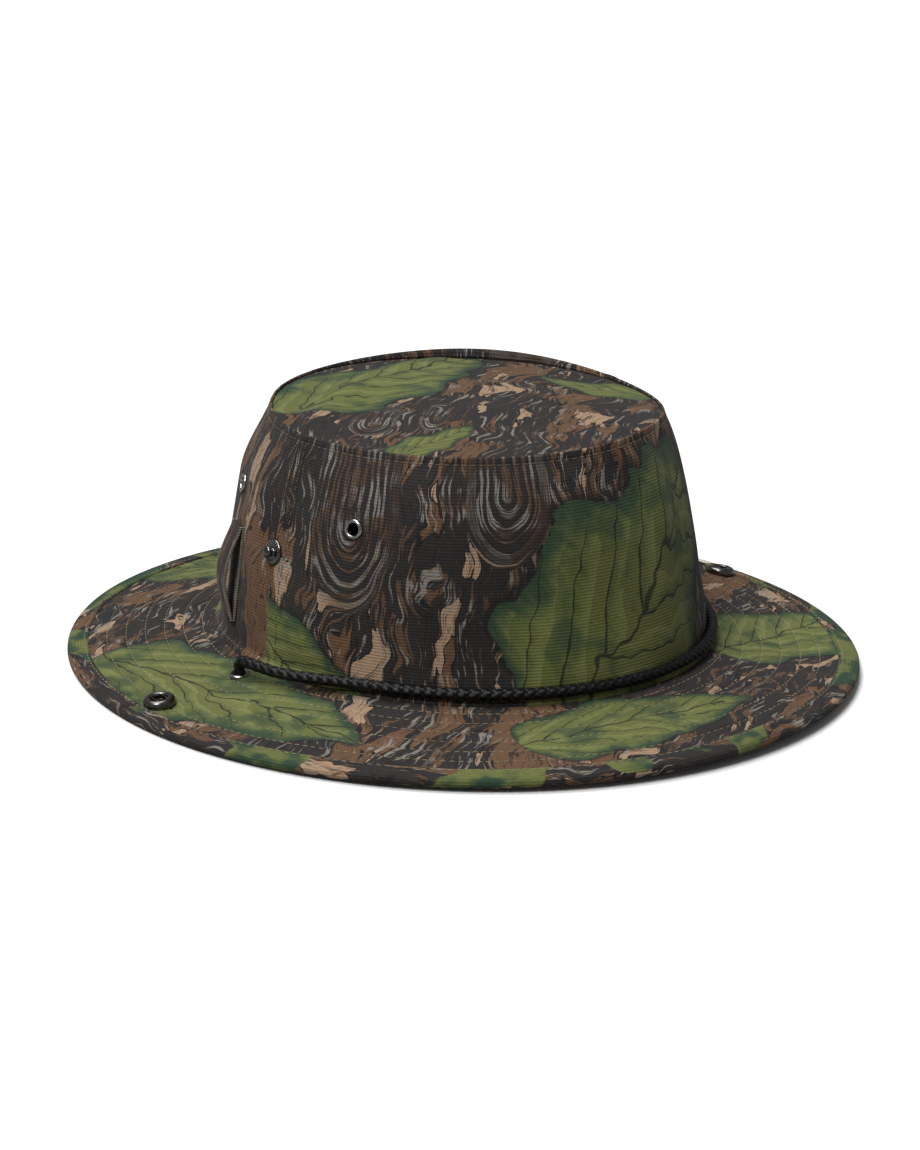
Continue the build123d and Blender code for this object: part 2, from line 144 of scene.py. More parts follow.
class HatColours(bpy.types.PropertyGroup):
    charcoal: colour("Charcoal", "Darkest ground of the print", (44, 40, 39))
    brown: colour("Brown", "Brown patches of the print", (98, 71, 49))
    tan: colour("Tan", "Light jagged patches of the print", (158, 131, 106))
    grey: colour("Grey", "Bark streaks of the print", (134, 128, 120))
    leaf: colour("Leaf", "Body of a printed leaf", (98, 104, 54))
    leaf_light: colour("Leaf light", "Light side of a printed leaf", (128, 134, 80))
    leaf_edge: colour("Leaf edge", "Blue green shading of a printed leaf", (38, 62, 44))
    vein: colour("Vein", "Dark veins of a printed leaf", (30, 34, 22))
    thread: colour("Thread", "Sewing thread", (150, 134, 96))
    cord: colour("Cord", "Braided chin cord", (8, 8, 9))


# ---- Mesh helpers --------------------------------------------------------------------------------
def new_object(name, verts, faces, uvs=None):
    """Mesh object from points in metres; uvs holds one (u, v) per point."""
    mesh = bpy.data.meshes.new(name)
    mesh.from_pydata([tuple(v) for v in verts], [], [tuple(f) for f in faces])
    mesh.validate()
    if uvs is not None:
        uvs = np.asarray(uvs, float)
        layer = mesh.uv_layers.new(name="cloth")
        index = np.empty(len(mesh.loops), int)
        mesh.loops.foreach_get("vertex_index", index)
        layer.data.foreach_set("uv", uvs[index].astype(np.float32).ravel())
    mesh.polygons.foreach_set("use_smooth", [True] * len(mesh.polygons))
    obj = bpy.data.objects.new(name, mesh)
    bpy.context.scene.collection.objects.link(obj)
    return obj


def grid_faces(rows, columns, wrap_rows=False, wrap_columns=False):
    """Quads over a grid of points stored row by row."""
    r = np.arange(rows if wrap_rows else rows - 1)
    c = np.arange(columns if wrap_columns else columns - 1)
    rr, cc = np.meshgrid(r, c, indexing="ij")
    r2, c2 = (rr + 1) % rows, (cc + 1) % columns
    quads = np.stack([rr * columns + cc, rr * columns + c2, r2 * columns + c2, r2 * columns + cc], -1)
    return quads.reshape(-1, 4).tolist()


def tube_faces(rows, columns):
    """Faces of a closed tube, its two ends capped."""
    last = (rows - 1) * columns
    caps = [list(range(columns)), list(range(last, last + columns))]
    return grid_faces(rows, columns, wrap_columns=True) + caps


def face_towards(obj, direction, face=0):
    """Flip an open sheet whose sample face looks away from a direction."""
    if obj.data.polygons[face].normal.dot(Vector(direction)) < 0:
        obj.data.flip_normals()


def tidy_normals(obj, merge=None):
    """Faces outwards on a closed mesh, after its doubles are merged."""
    work = bmesh.new()
    work.from_mesh(obj.data)
    if merge:
        bmesh.ops.remove_doubles(work, verts=work.verts, dist=merge)
    bmesh.ops.recalc_face_normals(work, faces=work.faces)
    work.to_mesh(obj.data)
    work.free()
    return obj


def plain(obj):
    """Turn an object's evaluated shape into its own plain mesh."""
    bpy.context.view_layer.update()
    graph = bpy.context.evaluated_depsgraph_get()
    mesh = bpy.data.meshes.new_from_object(
        obj.evaluated_get(graph), preserve_all_data_layers=True, depsgraph=graph)
    obj.modifiers.clear()
    obj.data = mesh
    mesh.polygons.foreach_set("use_smooth", [True] * len(mesh.polygons))
    return obj


def thicken(obj, thickness):
    """Give an open sheet its thickness, behind its face."""
    wall = obj.modifiers.new("thickness", "SOLIDIFY")
    wall.thickness, wall.offset, wall.use_even_offset = thickness, -1.0, False
    return plain(obj)


def dress(obj, material, body=None, replaces=()):
    """Give a piece its material in one slot and its body, and hide the CAD nodes that it stands for."""
    obj.data.materials.clear()
    obj.data.materials.append(material)
    if replaces:
        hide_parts(*replaces)
    if body:
        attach(obj, body)
    return obj


def bend_with_side(obj):
    """Bake the piece's place into its mesh."""
    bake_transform(obj)


# ---- Surfaces of the hat -------------------------------------------------------------------------
def smooth(x):
    """0 below 0, 1 above 1, smooth between."""
    x = np.clip(x, 0, 1)
    return x * x * (3 - 2 * x)


def near_angle(angle, middle, spread):
    """1 at an angle in degrees and falling away over spread."""
    turn = (angle - math.radians(middle) + math.pi) % (2 * math.pi) - math.pi
    return np.exp(-((turn / math.radians(spread)) ** 2))


ARC_ANGLES = np.linspace(0, 2 * math.pi, 2881)
ARC_LENGTHS = np.concatenate([[0], np.cumsum(np.hypot(
    np.diff(HEAD_X * np.cos(ARC_ANGLES)), np.diff(HEAD_Y * np.sin(ARC_ANGLES))))])
ROUND = ARC_LENGTHS[-1]


def arc(angle):
    """Distance round the crown's base from the right side seam, positive towards the front."""
    angle = np.asarray(angle, float)
    turns = np.floor(angle / (2 * math.pi))
    return np.interp(angle - turns * 2 * math.pi, ARC_ANGLES, ARC_LENGTHS) + turns * ROUND - ROUND / 2


def rim_roll(angle):
    """Height of the rolled rim, highest at the back left."""
    size = bpy.context.scene.hat_sizes.rim_roll
    return 0.5 * MM + size * near_angle(angle, 45, 38)


def tip_seam_z(angle):
    """Height of the tip's seam, which rises at the front and at the back left."""
    rise = 2.4 * near_angle(angle, 50, 45) + 3.4 * near_angle(angle, 290, 40)
    return TIP_Z - 1.3 * MM + rise * MM + 0.2 * MM * np.sin(5 * angle)


# Soft dents and swells of the wall: distance round from the right side seam, height, half width, half
# height and how far it stands out. The two heights are shares of the wall's, the rest is in millimetres.
WALL_DENTS = (
    (-38, 0.80, 16, 0.20, -1.3), (-14, 0.45, 9, 0.45, 1.3), (8, 0.75, 10, 0.28, -1.2),
    (24, 0.30, 14, 0.25, 1.3), (62, 0.62, 22, 0.30, 1.0), (100, 0.30, 14, 0.40, -1.2),
    (124, 0.74, 16, 0.24, 1.6), (150, 0.85, 13, 0.16, -1.7), (172, 0.50, 14, 0.34, 1.8),
    (196, 0.82, 13, 0.20, -1.9), (214, 0.35, 16, 0.34, 1.5), (250, 0.65, 20, 0.30, -1.6),
    (290, 0.46, 22, 0.34, -1.0), (0, 0.13, 10, 0.09, -1.0), (294, 0.13, 12, 0.09, -2.1),
    (-90, 0.55, 22, 0.34, -1.5), (-130, 0.40, 18, 0.36, 1.6), (-170, 0.72, 22, 0.28, -1.4),
    (-215, 0.45, 22, 0.36, 1.5), (-255, 0.75, 18, 0.24, -1.3),
)
SEAM_LAP_W, SEAM_LAP_H = 7.4 * MM, 0.55 * MM  # the felled side seam's lap on the wall
LEDGE_TOP, LEDGE_TURN = 0.036, 0.030  # shares of the wall's height over which the ledge turns out
RIM_START = 1.6 * MM  # from the top of the wall to the tip's seam


def wall_swell(along, share):
    """How far the wall stands out from its plain form."""
    out = 0.45 * MM * np.sin(along / 21e-3 + 1.3) * np.sin(share * 5.0 + along / 50e-3)
    out = out + 0.25 * MM * np.sin(along / 9e-3 + share * 7)
    for centre, level, wide, high, depth in WALL_DENTS:
        gap = (along - centre * MM + ROUND / 2) % ROUND - ROUND / 2
        out = out + depth * MM * np.exp(-((gap / (wide * MM)) ** 2) - ((share - level) / high) ** 2)
    fade = smooth(share / 0.16) * smooth((1.0 - share) / 0.10 + 0.15)
    edge = 0.9 * MM
    seam = sum(SEAM_LAP_H * smooth((gap + 0.4 * MM) / edge) * smooth((SEAM_LAP_W - gap) / edge)
               for gap in ((along + ROUND / 2) % ROUND - ROUND / 2, along % ROUND - ROUND / 2))
    return out * fade + seam * smooth(share / 0.06)


def wall_lean(angle, share):
    """How far the wall leans in past its plain form, most at the front left."""
    front = near_angle(angle, 312, 36) * (2.8 * smooth(share / 0.38) + 1.2 * smooth((share - 0.62) / 0.38))
    back = near_angle(angle, 143, 26) * 3.6 * smooth((share - 0.72) / 0.28)
    return (front + back) * MM


def wall_point(angle, share):
    """Point of the wall's outer face; share of height 0 at the brim seam, 1 where the rim starts to roll."""
    angle, share = np.broadcast_arrays(np.asarray(angle, float), np.asarray(share, float))
    inset = np.polyval(WALL_FIT, np.clip(share, 0, 1)) - wall_swell(arc(angle), share)
    inset = inset + wall_lean(angle, share)
    inset = inset - bpy.context.scene.hat_sizes.ledge * smooth((LEDGE_TOP - share) / LEDGE_TURN)
    top = tip_seam_z(angle) - RIM_START
    height = SEAM_Z + share * (top - SEAM_Z)
    return np.stack([(HEAD_X - inset) * np.cos(angle), (HEAD_Y - inset) * np.sin(angle), height], -1)


def rim_point(angle, share):
    """Point of the rolled rim, share 0 on the wall and 1 at the tip seam."""
    angle, share = np.broadcast_arrays(np.asarray(angle, float), np.asarray(share, float))
    roll = rim_roll(angle)
    start = wall_point(angle, 1.0)
    reach = np.hypot(start[..., 0], start[..., 1])
    way = np.stack([start[..., 0] / reach, start[..., 1] / reach, 0 * reach], -1)
    end = start - way * (1.3 * MM + 0.55 * roll)[..., None]
    end[..., 2] = tip_seam_z(angle)
    lift = start - way * (0.1 * MM + 0.12 * roll)[..., None]
    lift[..., 2] = start[..., 2] + 1.9 * MM + 1.0 * roll
    over = end + way * (0.2 * MM + 0.1 * roll)[..., None]
    over[..., 2] = end[..., 2] + 0.7 * MM + 0.9 * roll
    t = share[..., None]
    return (1 - t) ** 3 * start + 3 * (1 - t) ** 2 * t * lift + 3 * (1 - t) * t * t * over + t**3 * end


TIP_DOME = 5.6 * MM
# Folds of the tip: ends of each line and its width and height, in millimetres.
TIP_FOLDS = (
    ((-70, 6), (-30, 34), 7.0, 1.8), ((-30, 34), (30, 58), 10.0, 1.6), ((-56, 34), (-20, 58), 8.0, -1.6),
    ((-40, -34), (14, -52), 13.0, -1.2), ((36, -36), (60, 4), 13.0, -1.2), ((0, -26), (34, 10), 14.0, 1.0),
)


def tip_height(x, y, share):
    """Height of the tip over its seam; share is 0 at the middle and 1 at the seam."""
    dome = TIP_DOME * (1 - share**2)
    rise = 0
    for (x0, y0), (x1, y1), wide, high in TIP_FOLDS:
        ax, ay = (x1 - x0) * MM, (y1 - y0) * MM
        t = np.clip(((x - x0 * MM) * ax + (y - y0 * MM) * ay) / (ax * ax + ay * ay), 0, 1)
        gap = np.hypot(x - x0 * MM - t * ax, y - y0 * MM - t * ay)
        rise = rise + high * MM * np.exp(-((gap / (wide * MM)) ** 2))
    rise = rise + 0.35 * MM * np.sin(x / 11e-3 + 1) * np.sin(y / 13e-3)
    return dome + rise * smooth((1 - share) / 0.13)


def brim_wave(angle, run):
    """Height of the brim over its plain slope, at an angle and a distance from the crown."""
    size = bpy.context.scene.hat_sizes.brim_wave
    share = np.clip(run / BRIM_W, 0, 1)
    wave = np.sin(3 * angle + 0.8) + 0.6 * np.sin(5 * angle + 2.0) + 0.35 * np.sin(9 * angle)
    lift = 3.4 * MM * near_angle(angle, 286, 40) + 1.1 * MM * near_angle(angle, 225, 34)
    return size * np.sin(math.pi * share) * wave + lift * smooth(share)


ROWS, FIRST_ROW = 6, 7.0 * MM  # quilting rows, the first this far from the binding


def brim_rows():
    """Distances of the quilting rows from the crown."""
    pitch = bpy.context.scene.hat_sizes.row_pitch
    return [BRIM_W - BINDING_W - FIRST_ROW - k * pitch for k in range(ROWS)]


def brim_point(angle, run, depth=0.0):
    """Point at a depth under the brim's top face."""
    angle, run, depth = np.broadcast_arrays(
        np.asarray(angle, float), np.asarray(run, float), np.asarray(depth, float))
    height = SEAM_Z - BRIM_SLOPE * run - depth + brim_wave(angle, run)
    return np.stack([(HEAD_X + run) * np.cos(angle), (HEAD_Y + run) * np.sin(angle), height], -1)


# ---- Materials -----------------------------------------------------------------------------------
class Value:
    """A shader socket that takes part in Python arithmetic."""

    def __init__(self, book, socket):
        self.book, self.socket = book, socket

    def calc(self, operation, *others):
        return self.book.node("ShaderNodeMath", {"operation": operation}, dict(enumerate((self, *others))))

    def __add__(self, other):
        return self.calc("ADD", other)

    def __sub__(self, other):
        return self.calc("SUBTRACT", other)

    def __mul__(self, other):
        return self.calc("MULTIPLY", other)

    def __truediv__(self, other):
        return self.calc("DIVIDE", other)

    def __radd__(self, other):
        return self.book.node("ShaderNodeMath", {"operation": "ADD"}, {0: other, 1: self})

    def __rsub__(self, other):
        return self.book.node("ShaderNodeMath", {"operation": "SUBTRACT"}, {0: other, 1: self})

    def __rmul__(self, other):
        return self.book.node("ShaderNodeMath", {"operation": "MULTIPLY"}, {0: other, 1: self})

    def abs(self):
        return self.calc("ABSOLUTE")

    def clamp(self):
        return self.book.node("ShaderNodeClamp", {}, {0: self})

    def step(self, low, high):
        """0 below low, 1 above high, smooth between."""
        return self.book.node(
            "ShaderNodeMapRange", {"interpolation_type": "SMOOTHSTEP"}, {0: self, 1: low, 2: high})


def dim(shade, share):
    """A share of a colour."""
    return tuple(share * v for v in shade)


class Book:
    """One material's nodes."""

    def __init__(self, name, roughness, metallic=0.0, sheen=0.0):
        self.material = bpy.data.materials.new(name)
        self.material.use_nodes = True
        self.tree = self.material.node_tree
        self.shader = self.tree.nodes["Principled BSDF"]
        self.shader.inputs["Roughness"].default_value = roughness
        self.shader.inputs["Metallic"].default_value = metallic
        self.shader.inputs["Sheen Weight"].default_value = sheen
        self.shader.inputs["Sheen Roughness"].default_value = 0.6
        if not metallic:
            self.shader.inputs["Specular IOR Level"].default_value = 0.25

    def node(self, kind, settings, values, out=0):
        """Add a node: its settings first, then its sockets' values or links."""
        made = self.tree.nodes.new(kind)
        for key, value in settings.items():
            setattr(made, key, value)
        for key, value in values.items():
            self.feed(made.inputs[key], value)
        return Value(self, made.outputs[out])

    def feed(self, socket, value):
        if isinstance(value, Value):
            self.tree.links.new(value.socket, socket)
        elif socket.type == "RGBA" and len(value) == 3:
            socket.default_value = (*value, 1)
        else:
            socket.default_value = value

    def mix(self, factor, first, second):
        """Colour from first to second."""
        return self.node("ShaderNodeMix", {"data_type": "RGBA"}, {0: factor, 6: first, 7: second}, 2)

    def cloth_map(self):
        """The piece's cloth map in millimetres, as x and y."""
        uv = self.node("ShaderNodeUVMap", {"uv_map": "cloth"}, {})
        big = self.node("ShaderNodeVectorMath", {"operation": "SCALE"}, {0: uv, "Scale": 1000.0})
        return [self.node("ShaderNodeSeparateXYZ", {}, {0: big}, axis) for axis in (0, 1)]

    def place(self, x, y, z=0.0):
        return self.node("ShaderNodeCombineXYZ", {}, {0: x, 1: y, 2: z})

    def noise(self, vector, scale, detail, roughness=0.5):
        return self.node("ShaderNodeTexNoise", {"noise_dimensions": "3D"}, {
            "Vector": vector, "Scale": scale, "Detail": detail, "Roughness": roughness})

    def paint(self, colour, roughness=None, height=None, strength=0.5, distance=0.0002):
        """Feed the shader its colour, roughness and bump."""
        self.feed(self.shader.inputs["Base Color"], colour)
        if roughness is not None:
            self.feed(self.shader.inputs["Roughness"], roughness)
        if height is not None:
            values = {"Strength": strength, "Distance": distance, "Height": height}
            self.feed(self.shader.inputs["Normal"], self.node("ShaderNodeBump", {}, values))
        return self.material


def bark_ground(book, x, y, seed, knots=()):
    """Streaked bark ground; streaks run along y and flow round the knots."""
    c = bpy.context.scene.hat_colours
    spot = book.place(x, y, seed)
    warp_x = (book.noise(spot, 0.035, 2.0) - 0.5) * 26.0
    warp_y = (book.noise(book.place(x, y, seed + 7.0), 0.045, 2.0) - 0.5) * 16.0
    flow, along = x + warp_x, y + warp_y
    ringed = None
    for kx, ky, reach in knots:
        dx, dy = (x + warp_x * 0.35 - kx), (y + warp_y * 0.35 - ky)
        below = dy.calc("MINIMUM", 0.0)
        gap = (dx * dx * 1.3 + below * below * 0.5).calc("SQRT")
        near = 1.0 - gap.step(reach * 0.75, reach)
        near = near * (1.0 - dy.step(reach * 1.6, reach * 2.4))
        flow = flow + (gap * 1.2 - flow) * near
        ringed = near if ringed is None else ringed.calc("MAXIMUM", near)
    streak = book.noise(book.place(flow * 0.13, along * 0.020, seed), 1.0, 3.0, 0.6)
    patch = book.noise(book.place(flow * 0.036, along * 0.013, seed + 3.0), 1.0, 3.0, 0.5)
    fine = book.noise(book.place(flow * 0.60, along * 0.060, seed + 5.0), 1.0, 3.0, 0.6)
    jag = book.noise(book.place(flow * 0.058, along * 0.032, seed + 9.0), 1.0, 3.0, 0.58)
    dark = book.mix(book.noise(spot, 0.5, 3.0), c.charcoal, dim(c.charcoal, 0.55))
    browns = patch + (streak - 0.5) * 0.42
    tans = jag + (streak - 0.5) * 0.60
    brown_edge = 1.0 - (browns - 0.541).abs().step(0.006, 0.016)
    tan_edge = 1.0 - (tans - 0.614).abs().step(0.008, 0.022)
    edges = brown_edge.calc("MAXIMUM", tan_edge)
    ground = book.mix(browns.step(0.542, 0.547), dark, c.brown)
    ground = book.mix(tans.step(0.622, 0.628), book.mix(edges, ground, dim(c.charcoal, 0.35)), c.tan)
    rust = streak.step(0.56, 0.57) * (1.0 - streak.step(0.60, 0.61)) * (1.0 - tans.step(0.58, 0.60))
    ground = book.mix(rust * 0.75, ground, dim(c.brown, 1.1))
    strokes = fine.step(0.565, 0.60) * patch.step(0.36, 0.42) * (1.0 - patch.step(0.60, 0.66))
    if ringed is not None:
        rings = (flow * 1.45 + (streak - 0.5) * 11.0).calc("SINE").step(0.35, 0.85)
        strokes = strokes.calc("MAXIMUM", rings * ringed * fine.step(0.40, 0.52))
        ground = book.mix(ringed * 0.82, ground, dark)
    tone = book.mix(book.noise(spot, 0.09, 2.0).step(0.45, 0.56), c.grey, dim(c.brown, 0.9))
    ground = book.mix(strokes * 0.85, ground, tone)
    lines = book.noise(book.place(flow * 0.42, along * 0.035, seed + 11.0), 1.0, 2.0, 0.5)
    crack = 1.0 - (lines - 0.5).abs().step(0.006, 0.018)
    return book.mix(crack * 0.75, ground, dim(c.charcoal, 0.30))


def with_leaf(book, ground, x, y, leaf, seed):
    """One printed leaf over the ground: base x and y, heading in degrees, length and half width."""
    c = bpy.context.scene.hat_colours
    bx, by, heading, length, wide = leaf
    turn = math.radians(heading)
    dx, dy = x - bx, y - by
    wander = book.noise(book.place(x, y, seed), 0.05, 2.0) - 0.5
    ragged = book.noise(book.place(x, y, seed + 1.0), 0.22, 3.0, 0.6) - 0.5
    far = (dx * math.cos(turn) + dy * math.sin(turn)) / length
    off = (dy * math.cos(turn) - dx * math.sin(turn)) / wide + wander * 0.5
    side = off.abs()
    lobes = (far * (math.pi * 5.6) + ragged * 1.2).calc("SINE") * 0.12
    girth = (far.clamp().calc("POWER", 0.62) * math.pi).calc("SINE").calc("POWER", 0.7)
    room = girth * (0.94 + lobes) - side + ragged * 0.05
    inside = far.step(-0.01, 0.01) * (1.0 - far.step(0.985, 1.0))
    mask = room.step(0.0, 0.02) * inside
    halo = room.step(-0.09, 0.01) * inside
    # Side veins leave the midrib and curve forwards.
    comb = far - side * 0.42 - side * side * 0.10 + wander * 0.12
    beat = (comb * 5.4 + 0.15).calc("FRACT")
    thin = (0.006 + 0.034 * (1.0 - side)) * (0.8 + ragged * 1.6)
    veins = 1.0 - ((beat - 0.5).abs() - thin).step(0.0, 0.012)
    veins = veins * (girth * 0.86 - side).step(0.0, 0.06)
    rib = 1.0 - (side + ragged * 0.02).step(0.010, 0.024)
    body = book.mix(beat.step(0.45, 1.35) * 0.8, c.leaf, c.leaf_light)
    brush = book.noise(book.place(far * 26.0, off * 3.0, seed + 3.0), 1.0, 3.0, 0.6)
    rim = 1.0 - (room + (brush - 0.5) * 0.35).step(0.02, 0.30)
    patch = book.noise(book.place(x, y, seed + 6.0), 0.055, 2.0).step(0.50, 0.66)
    wash = (1.0 - (beat - 0.5).step(0.0, 0.34)) * (beat - 0.5).step(0.0, 0.02) * brush.step(0.35, 0.65) * 0.6
    body = book.mix((rim * 0.95).calc("MAXIMUM", patch * 0.66).calc("MAXIMUM", wash), body, c.leaf_edge)
    body = book.mix((veins.calc("MAXIMUM", rib) * (0.55 + 0.6 * brush)).clamp(), body, c.vein)
    ground = book.mix(halo * 0.85, ground, dim(c.charcoal, 0.35))
    return book.mix(mask, ground, body)


RIB_PITCH, WARP_PITCH = 1.15, 0.92  # of the weave, in millimetres


def print_cloth(name, seed, knots=(), leaves=(), streak_turn=0.0, green=0.0):
    """Printed cotton: bark ground, green patches, leaves, then the yarn's own tone, painted shade on the
    weave's ribs, and the ribs' bump.
    """
    book = Book(name, roughness=0.88, sheen=0.04)
    x, y = book.cloth_map()
    turn = math.radians(streak_turn)
    gx = x * math.cos(turn) - y * math.sin(turn) if streak_turn else x
    gy = x * math.sin(turn) + y * math.cos(turn) if streak_turn else y
    colour = bark_ground(book, gx, gy, seed, knots)
    if green:
        c = bpy.context.scene.hat_colours
        where = book.noise(book.place(x * 0.022, y * 0.03, seed + 30.0), 1.0, 2.0)
        shade = book.noise(book.place(x * 0.06, y * 0.10, seed + 33.0), 1.0, 3.0).step(0.42, 0.60)
        colour = book.mix(where.step(green, green + 0.01), colour, book.mix(shade, c.leaf_edge, c.leaf))
    for index, leaf in enumerate(leaves):
        colour = with_leaf(book, colour, x, y, leaf, seed + 20.0 + 3.0 * index)
    ribs = (y * (2 * math.pi / RIB_PITCH)).calc("SINE")
    warp = (x * (2 * math.pi / WARP_PITCH)).calc("SINE")
    weave = ribs * 0.6 + warp * 0.4 * ribs.abs()
    slub = book.noise(book.place(x * 0.35, y * 2.4, seed), 1.0, 2.0, 0.5)
    fuzz = book.noise(book.place(x, y, seed + 2.0), 3.2, 2.0, 0.6)
    # Painted shade: the weave term paints the ribs' crests lighter and their hollows darker; slub and fuzz
    # are the yarn's own tone.
    lift = 0.90 + weave * 0.20 + (slub - 0.5) * 0.62 + (fuzz - 0.5) * 0.55
    colour_with_rib_shade = book.node("ShaderNodeVectorMath", {"operation": "SCALE"}, {0: colour, "Scale": lift})
    height = weave * 0.5 + slub * 0.7 + fuzz * 0.35
    return book.paint(colour_with_rib_shade, 0.80 + (fuzz - 0.5) * 0.2, height, 0.6, 0.00024)


def twill(name, shade, seed, pitch=0.55):
    """Plain dyed tape or band."""
    book = Book(name, roughness=0.9, sheen=0.05)
    x, y = book.cloth_map()
    rib = ((x + y) * (2 * math.pi / pitch)).calc("SINE")
    wear = book.noise(book.place(x, y, seed), 0.12, 3.0)
    fuzz = book.noise(book.place(x, y, seed + 2.0), 2.5, 2.0)
    # Real wear in patches, and painted shade: the twill's ribs lighter on their crests.
    wear_and_rib_shade = (wear.step(0.35, 0.7) * 0.35 + rib * 0.06 + 0.1).clamp()
    colour = book.mix(wear_and_rib_shade, shade, dim(shade, 1.5))
    return book.paint(colour, 0.86 + (fuzz - 0.5) * 0.15, rib * 0.6 + fuzz, 0.5, 0.00015)


def object_place(book, scale=1.0):
    """Place on the piece, in metres times scale."""
    spot = book.node("ShaderNodeTexCoord", {}, {}, 3)
    return book.node("ShaderNodeVectorMath", {"operation": "SCALE"}, {0: spot, "Scale": scale})


def nickel(name, bright, roughness, seed):
    """Plated brass with cloudy patches and fine scuffs."""
    book = Book(name, roughness=roughness, metallic=1.0)
    spot = object_place(book, 1000.0)
    scuff = book.noise(spot, 1.6, 4.0, 0.6)
    cloud = book.noise(spot, 0.35, 2.0)
    colour = book.mix(cloud.step(0.35, 0.7), bright, dim(bright, 0.72))
    return book.paint(colour, roughness * 0.7 + scuff * roughness * 0.8, scuff, 0.12, 0.00006)


def thread_material(name, shade):
    """Sewing thread with its ply's light and dark."""
    book = Book(name, roughness=0.7, sheen=0.2)
    spot = object_place(book, 1000.0)
    ply = book.noise(spot, 2.8, 2.0)
    drift = book.noise(spot, 0.06, 2.0)
    lit = (ply * 0.5 + drift.step(0.35, 0.65) * 0.5).clamp()
    colour = book.mix(lit, dim(shade, 0.55), shade)
    return book.paint(colour, 0.62 + ply * 0.2, ply, 0.3, 0.0001)


def cord_material():
    """Dark synthetic cord with fine slanting filaments."""
    c = bpy.context.scene.hat_colours
    book = Book("braided_cord", roughness=0.4)
    x, y = book.cloth_map()
    filament = (x * 9.0 + y * 6.0).calc("SINE")
    dust = book.noise(book.place(x, y, 1.0), 1.2, 3.0)
    lit = (dust.step(0.45, 0.8) * 0.5 + filament * 0.08 + 0.08).clamp()
    colour = book.mix(lit, c.cord, dim(c.cord, 2.2))
    return book.paint(colour, 0.32 + dust * 0.25, filament * 0.4 + dust, 0.5, 0.00012)


def plastic_material():
    """Black moulded plastic with a fine grain."""
    book = Book("moulded_plastic", roughness=0.4)
    spot = object_place(book, 1000.0)
    grain = book.noise(spot, 2.2, 3.0)
    colour = book.mix(grain.step(0.4, 0.7), srgb(24, 24, 25), srgb(38, 38, 39))
    return book.paint(colour, 0.34 + grain * 0.2, grain, 0.25, 0.0001)


# Leaves of the print on each piece's cloth map: base x and y, heading, length and half width. Knots: x, y
# and reach. Millimetres and degrees.
LEAVES_WALL = (
    (114, -8, 42, 132, 52),
    (-26, 21, -22, 90, 21),
    (262, 4, 66, 92, 34),
    (-500, 70, -62, 84, 30),
    (-590, 8, 58, 100, 38),
)
KNOTS_WALL = ((38, 62, 24), (100, 76, 19), (-470, 40, 18), (-640, 56, 20))
KNOTS_TIP = ((-24, -46, 9), (-2, -38, 8))
LEAVES_TIP = ((-64, 26, 15, 118, 33), (-66, -44, 14, 44, 10), (70, -30, 120, 50, 14))
LEAVES_BRIM = (
    (-126, 58, -81, 140, 27),
    (-62, -114, -6, 98, 21),
    (58, -82, 12, 92, 25),
    (-104, 116, 196, 40, 16),
    (110, 20, 62, 84, 28),
    (-20, 110, 130, 80, 26),
    (60, 130, -20, 60, 20),
)
MADE = {}  # the materials by name, filled on first use


def finishes():
    """All materials, made once."""
    if MADE:
        return MADE
    c = bpy.context.scene.hat_colours
    MADE.update(
        wall=print_cloth("printed_wall", 3.0, KNOTS_WALL, LEAVES_WALL),
        tip=print_cloth("printed_tip", 11.0, KNOTS_TIP, LEAVES_TIP, streak_turn=52.0),
        brim=print_cloth("printed_brim", 5.0, (), LEAVES_BRIM, streak_turn=62.0),
        binding=print_cloth("printed_binding", 17.0, (), (), streak_turn=90.0, green=0.5),
        thread=thread_material("sewing_thread", c.thread),
        dark_thread=thread_material("dark_thread", srgb(108, 98, 74)),
        edge_thread=thread_material("overcast_thread", srgb(152, 142, 124)),
        cord=cord_material(),
        bright=nickel("bright_nickel", srgb(172, 170, 166), 0.2, 1.0),
        gunmetal=nickel("gunmetal", srgb(108, 106, 104), 0.22, 2.0),
        band=twill("sweatband_twill", srgb(58, 62, 40), 2.0),
        tape=twill("seam_tape", srgb(50, 52, 38), 4.0, 0.8),
        plastic=plastic_material(),
        selvedge=twill("bare_selvedge", srgb(196, 190, 172), 6.0, 0.7),
    )
    return MADE


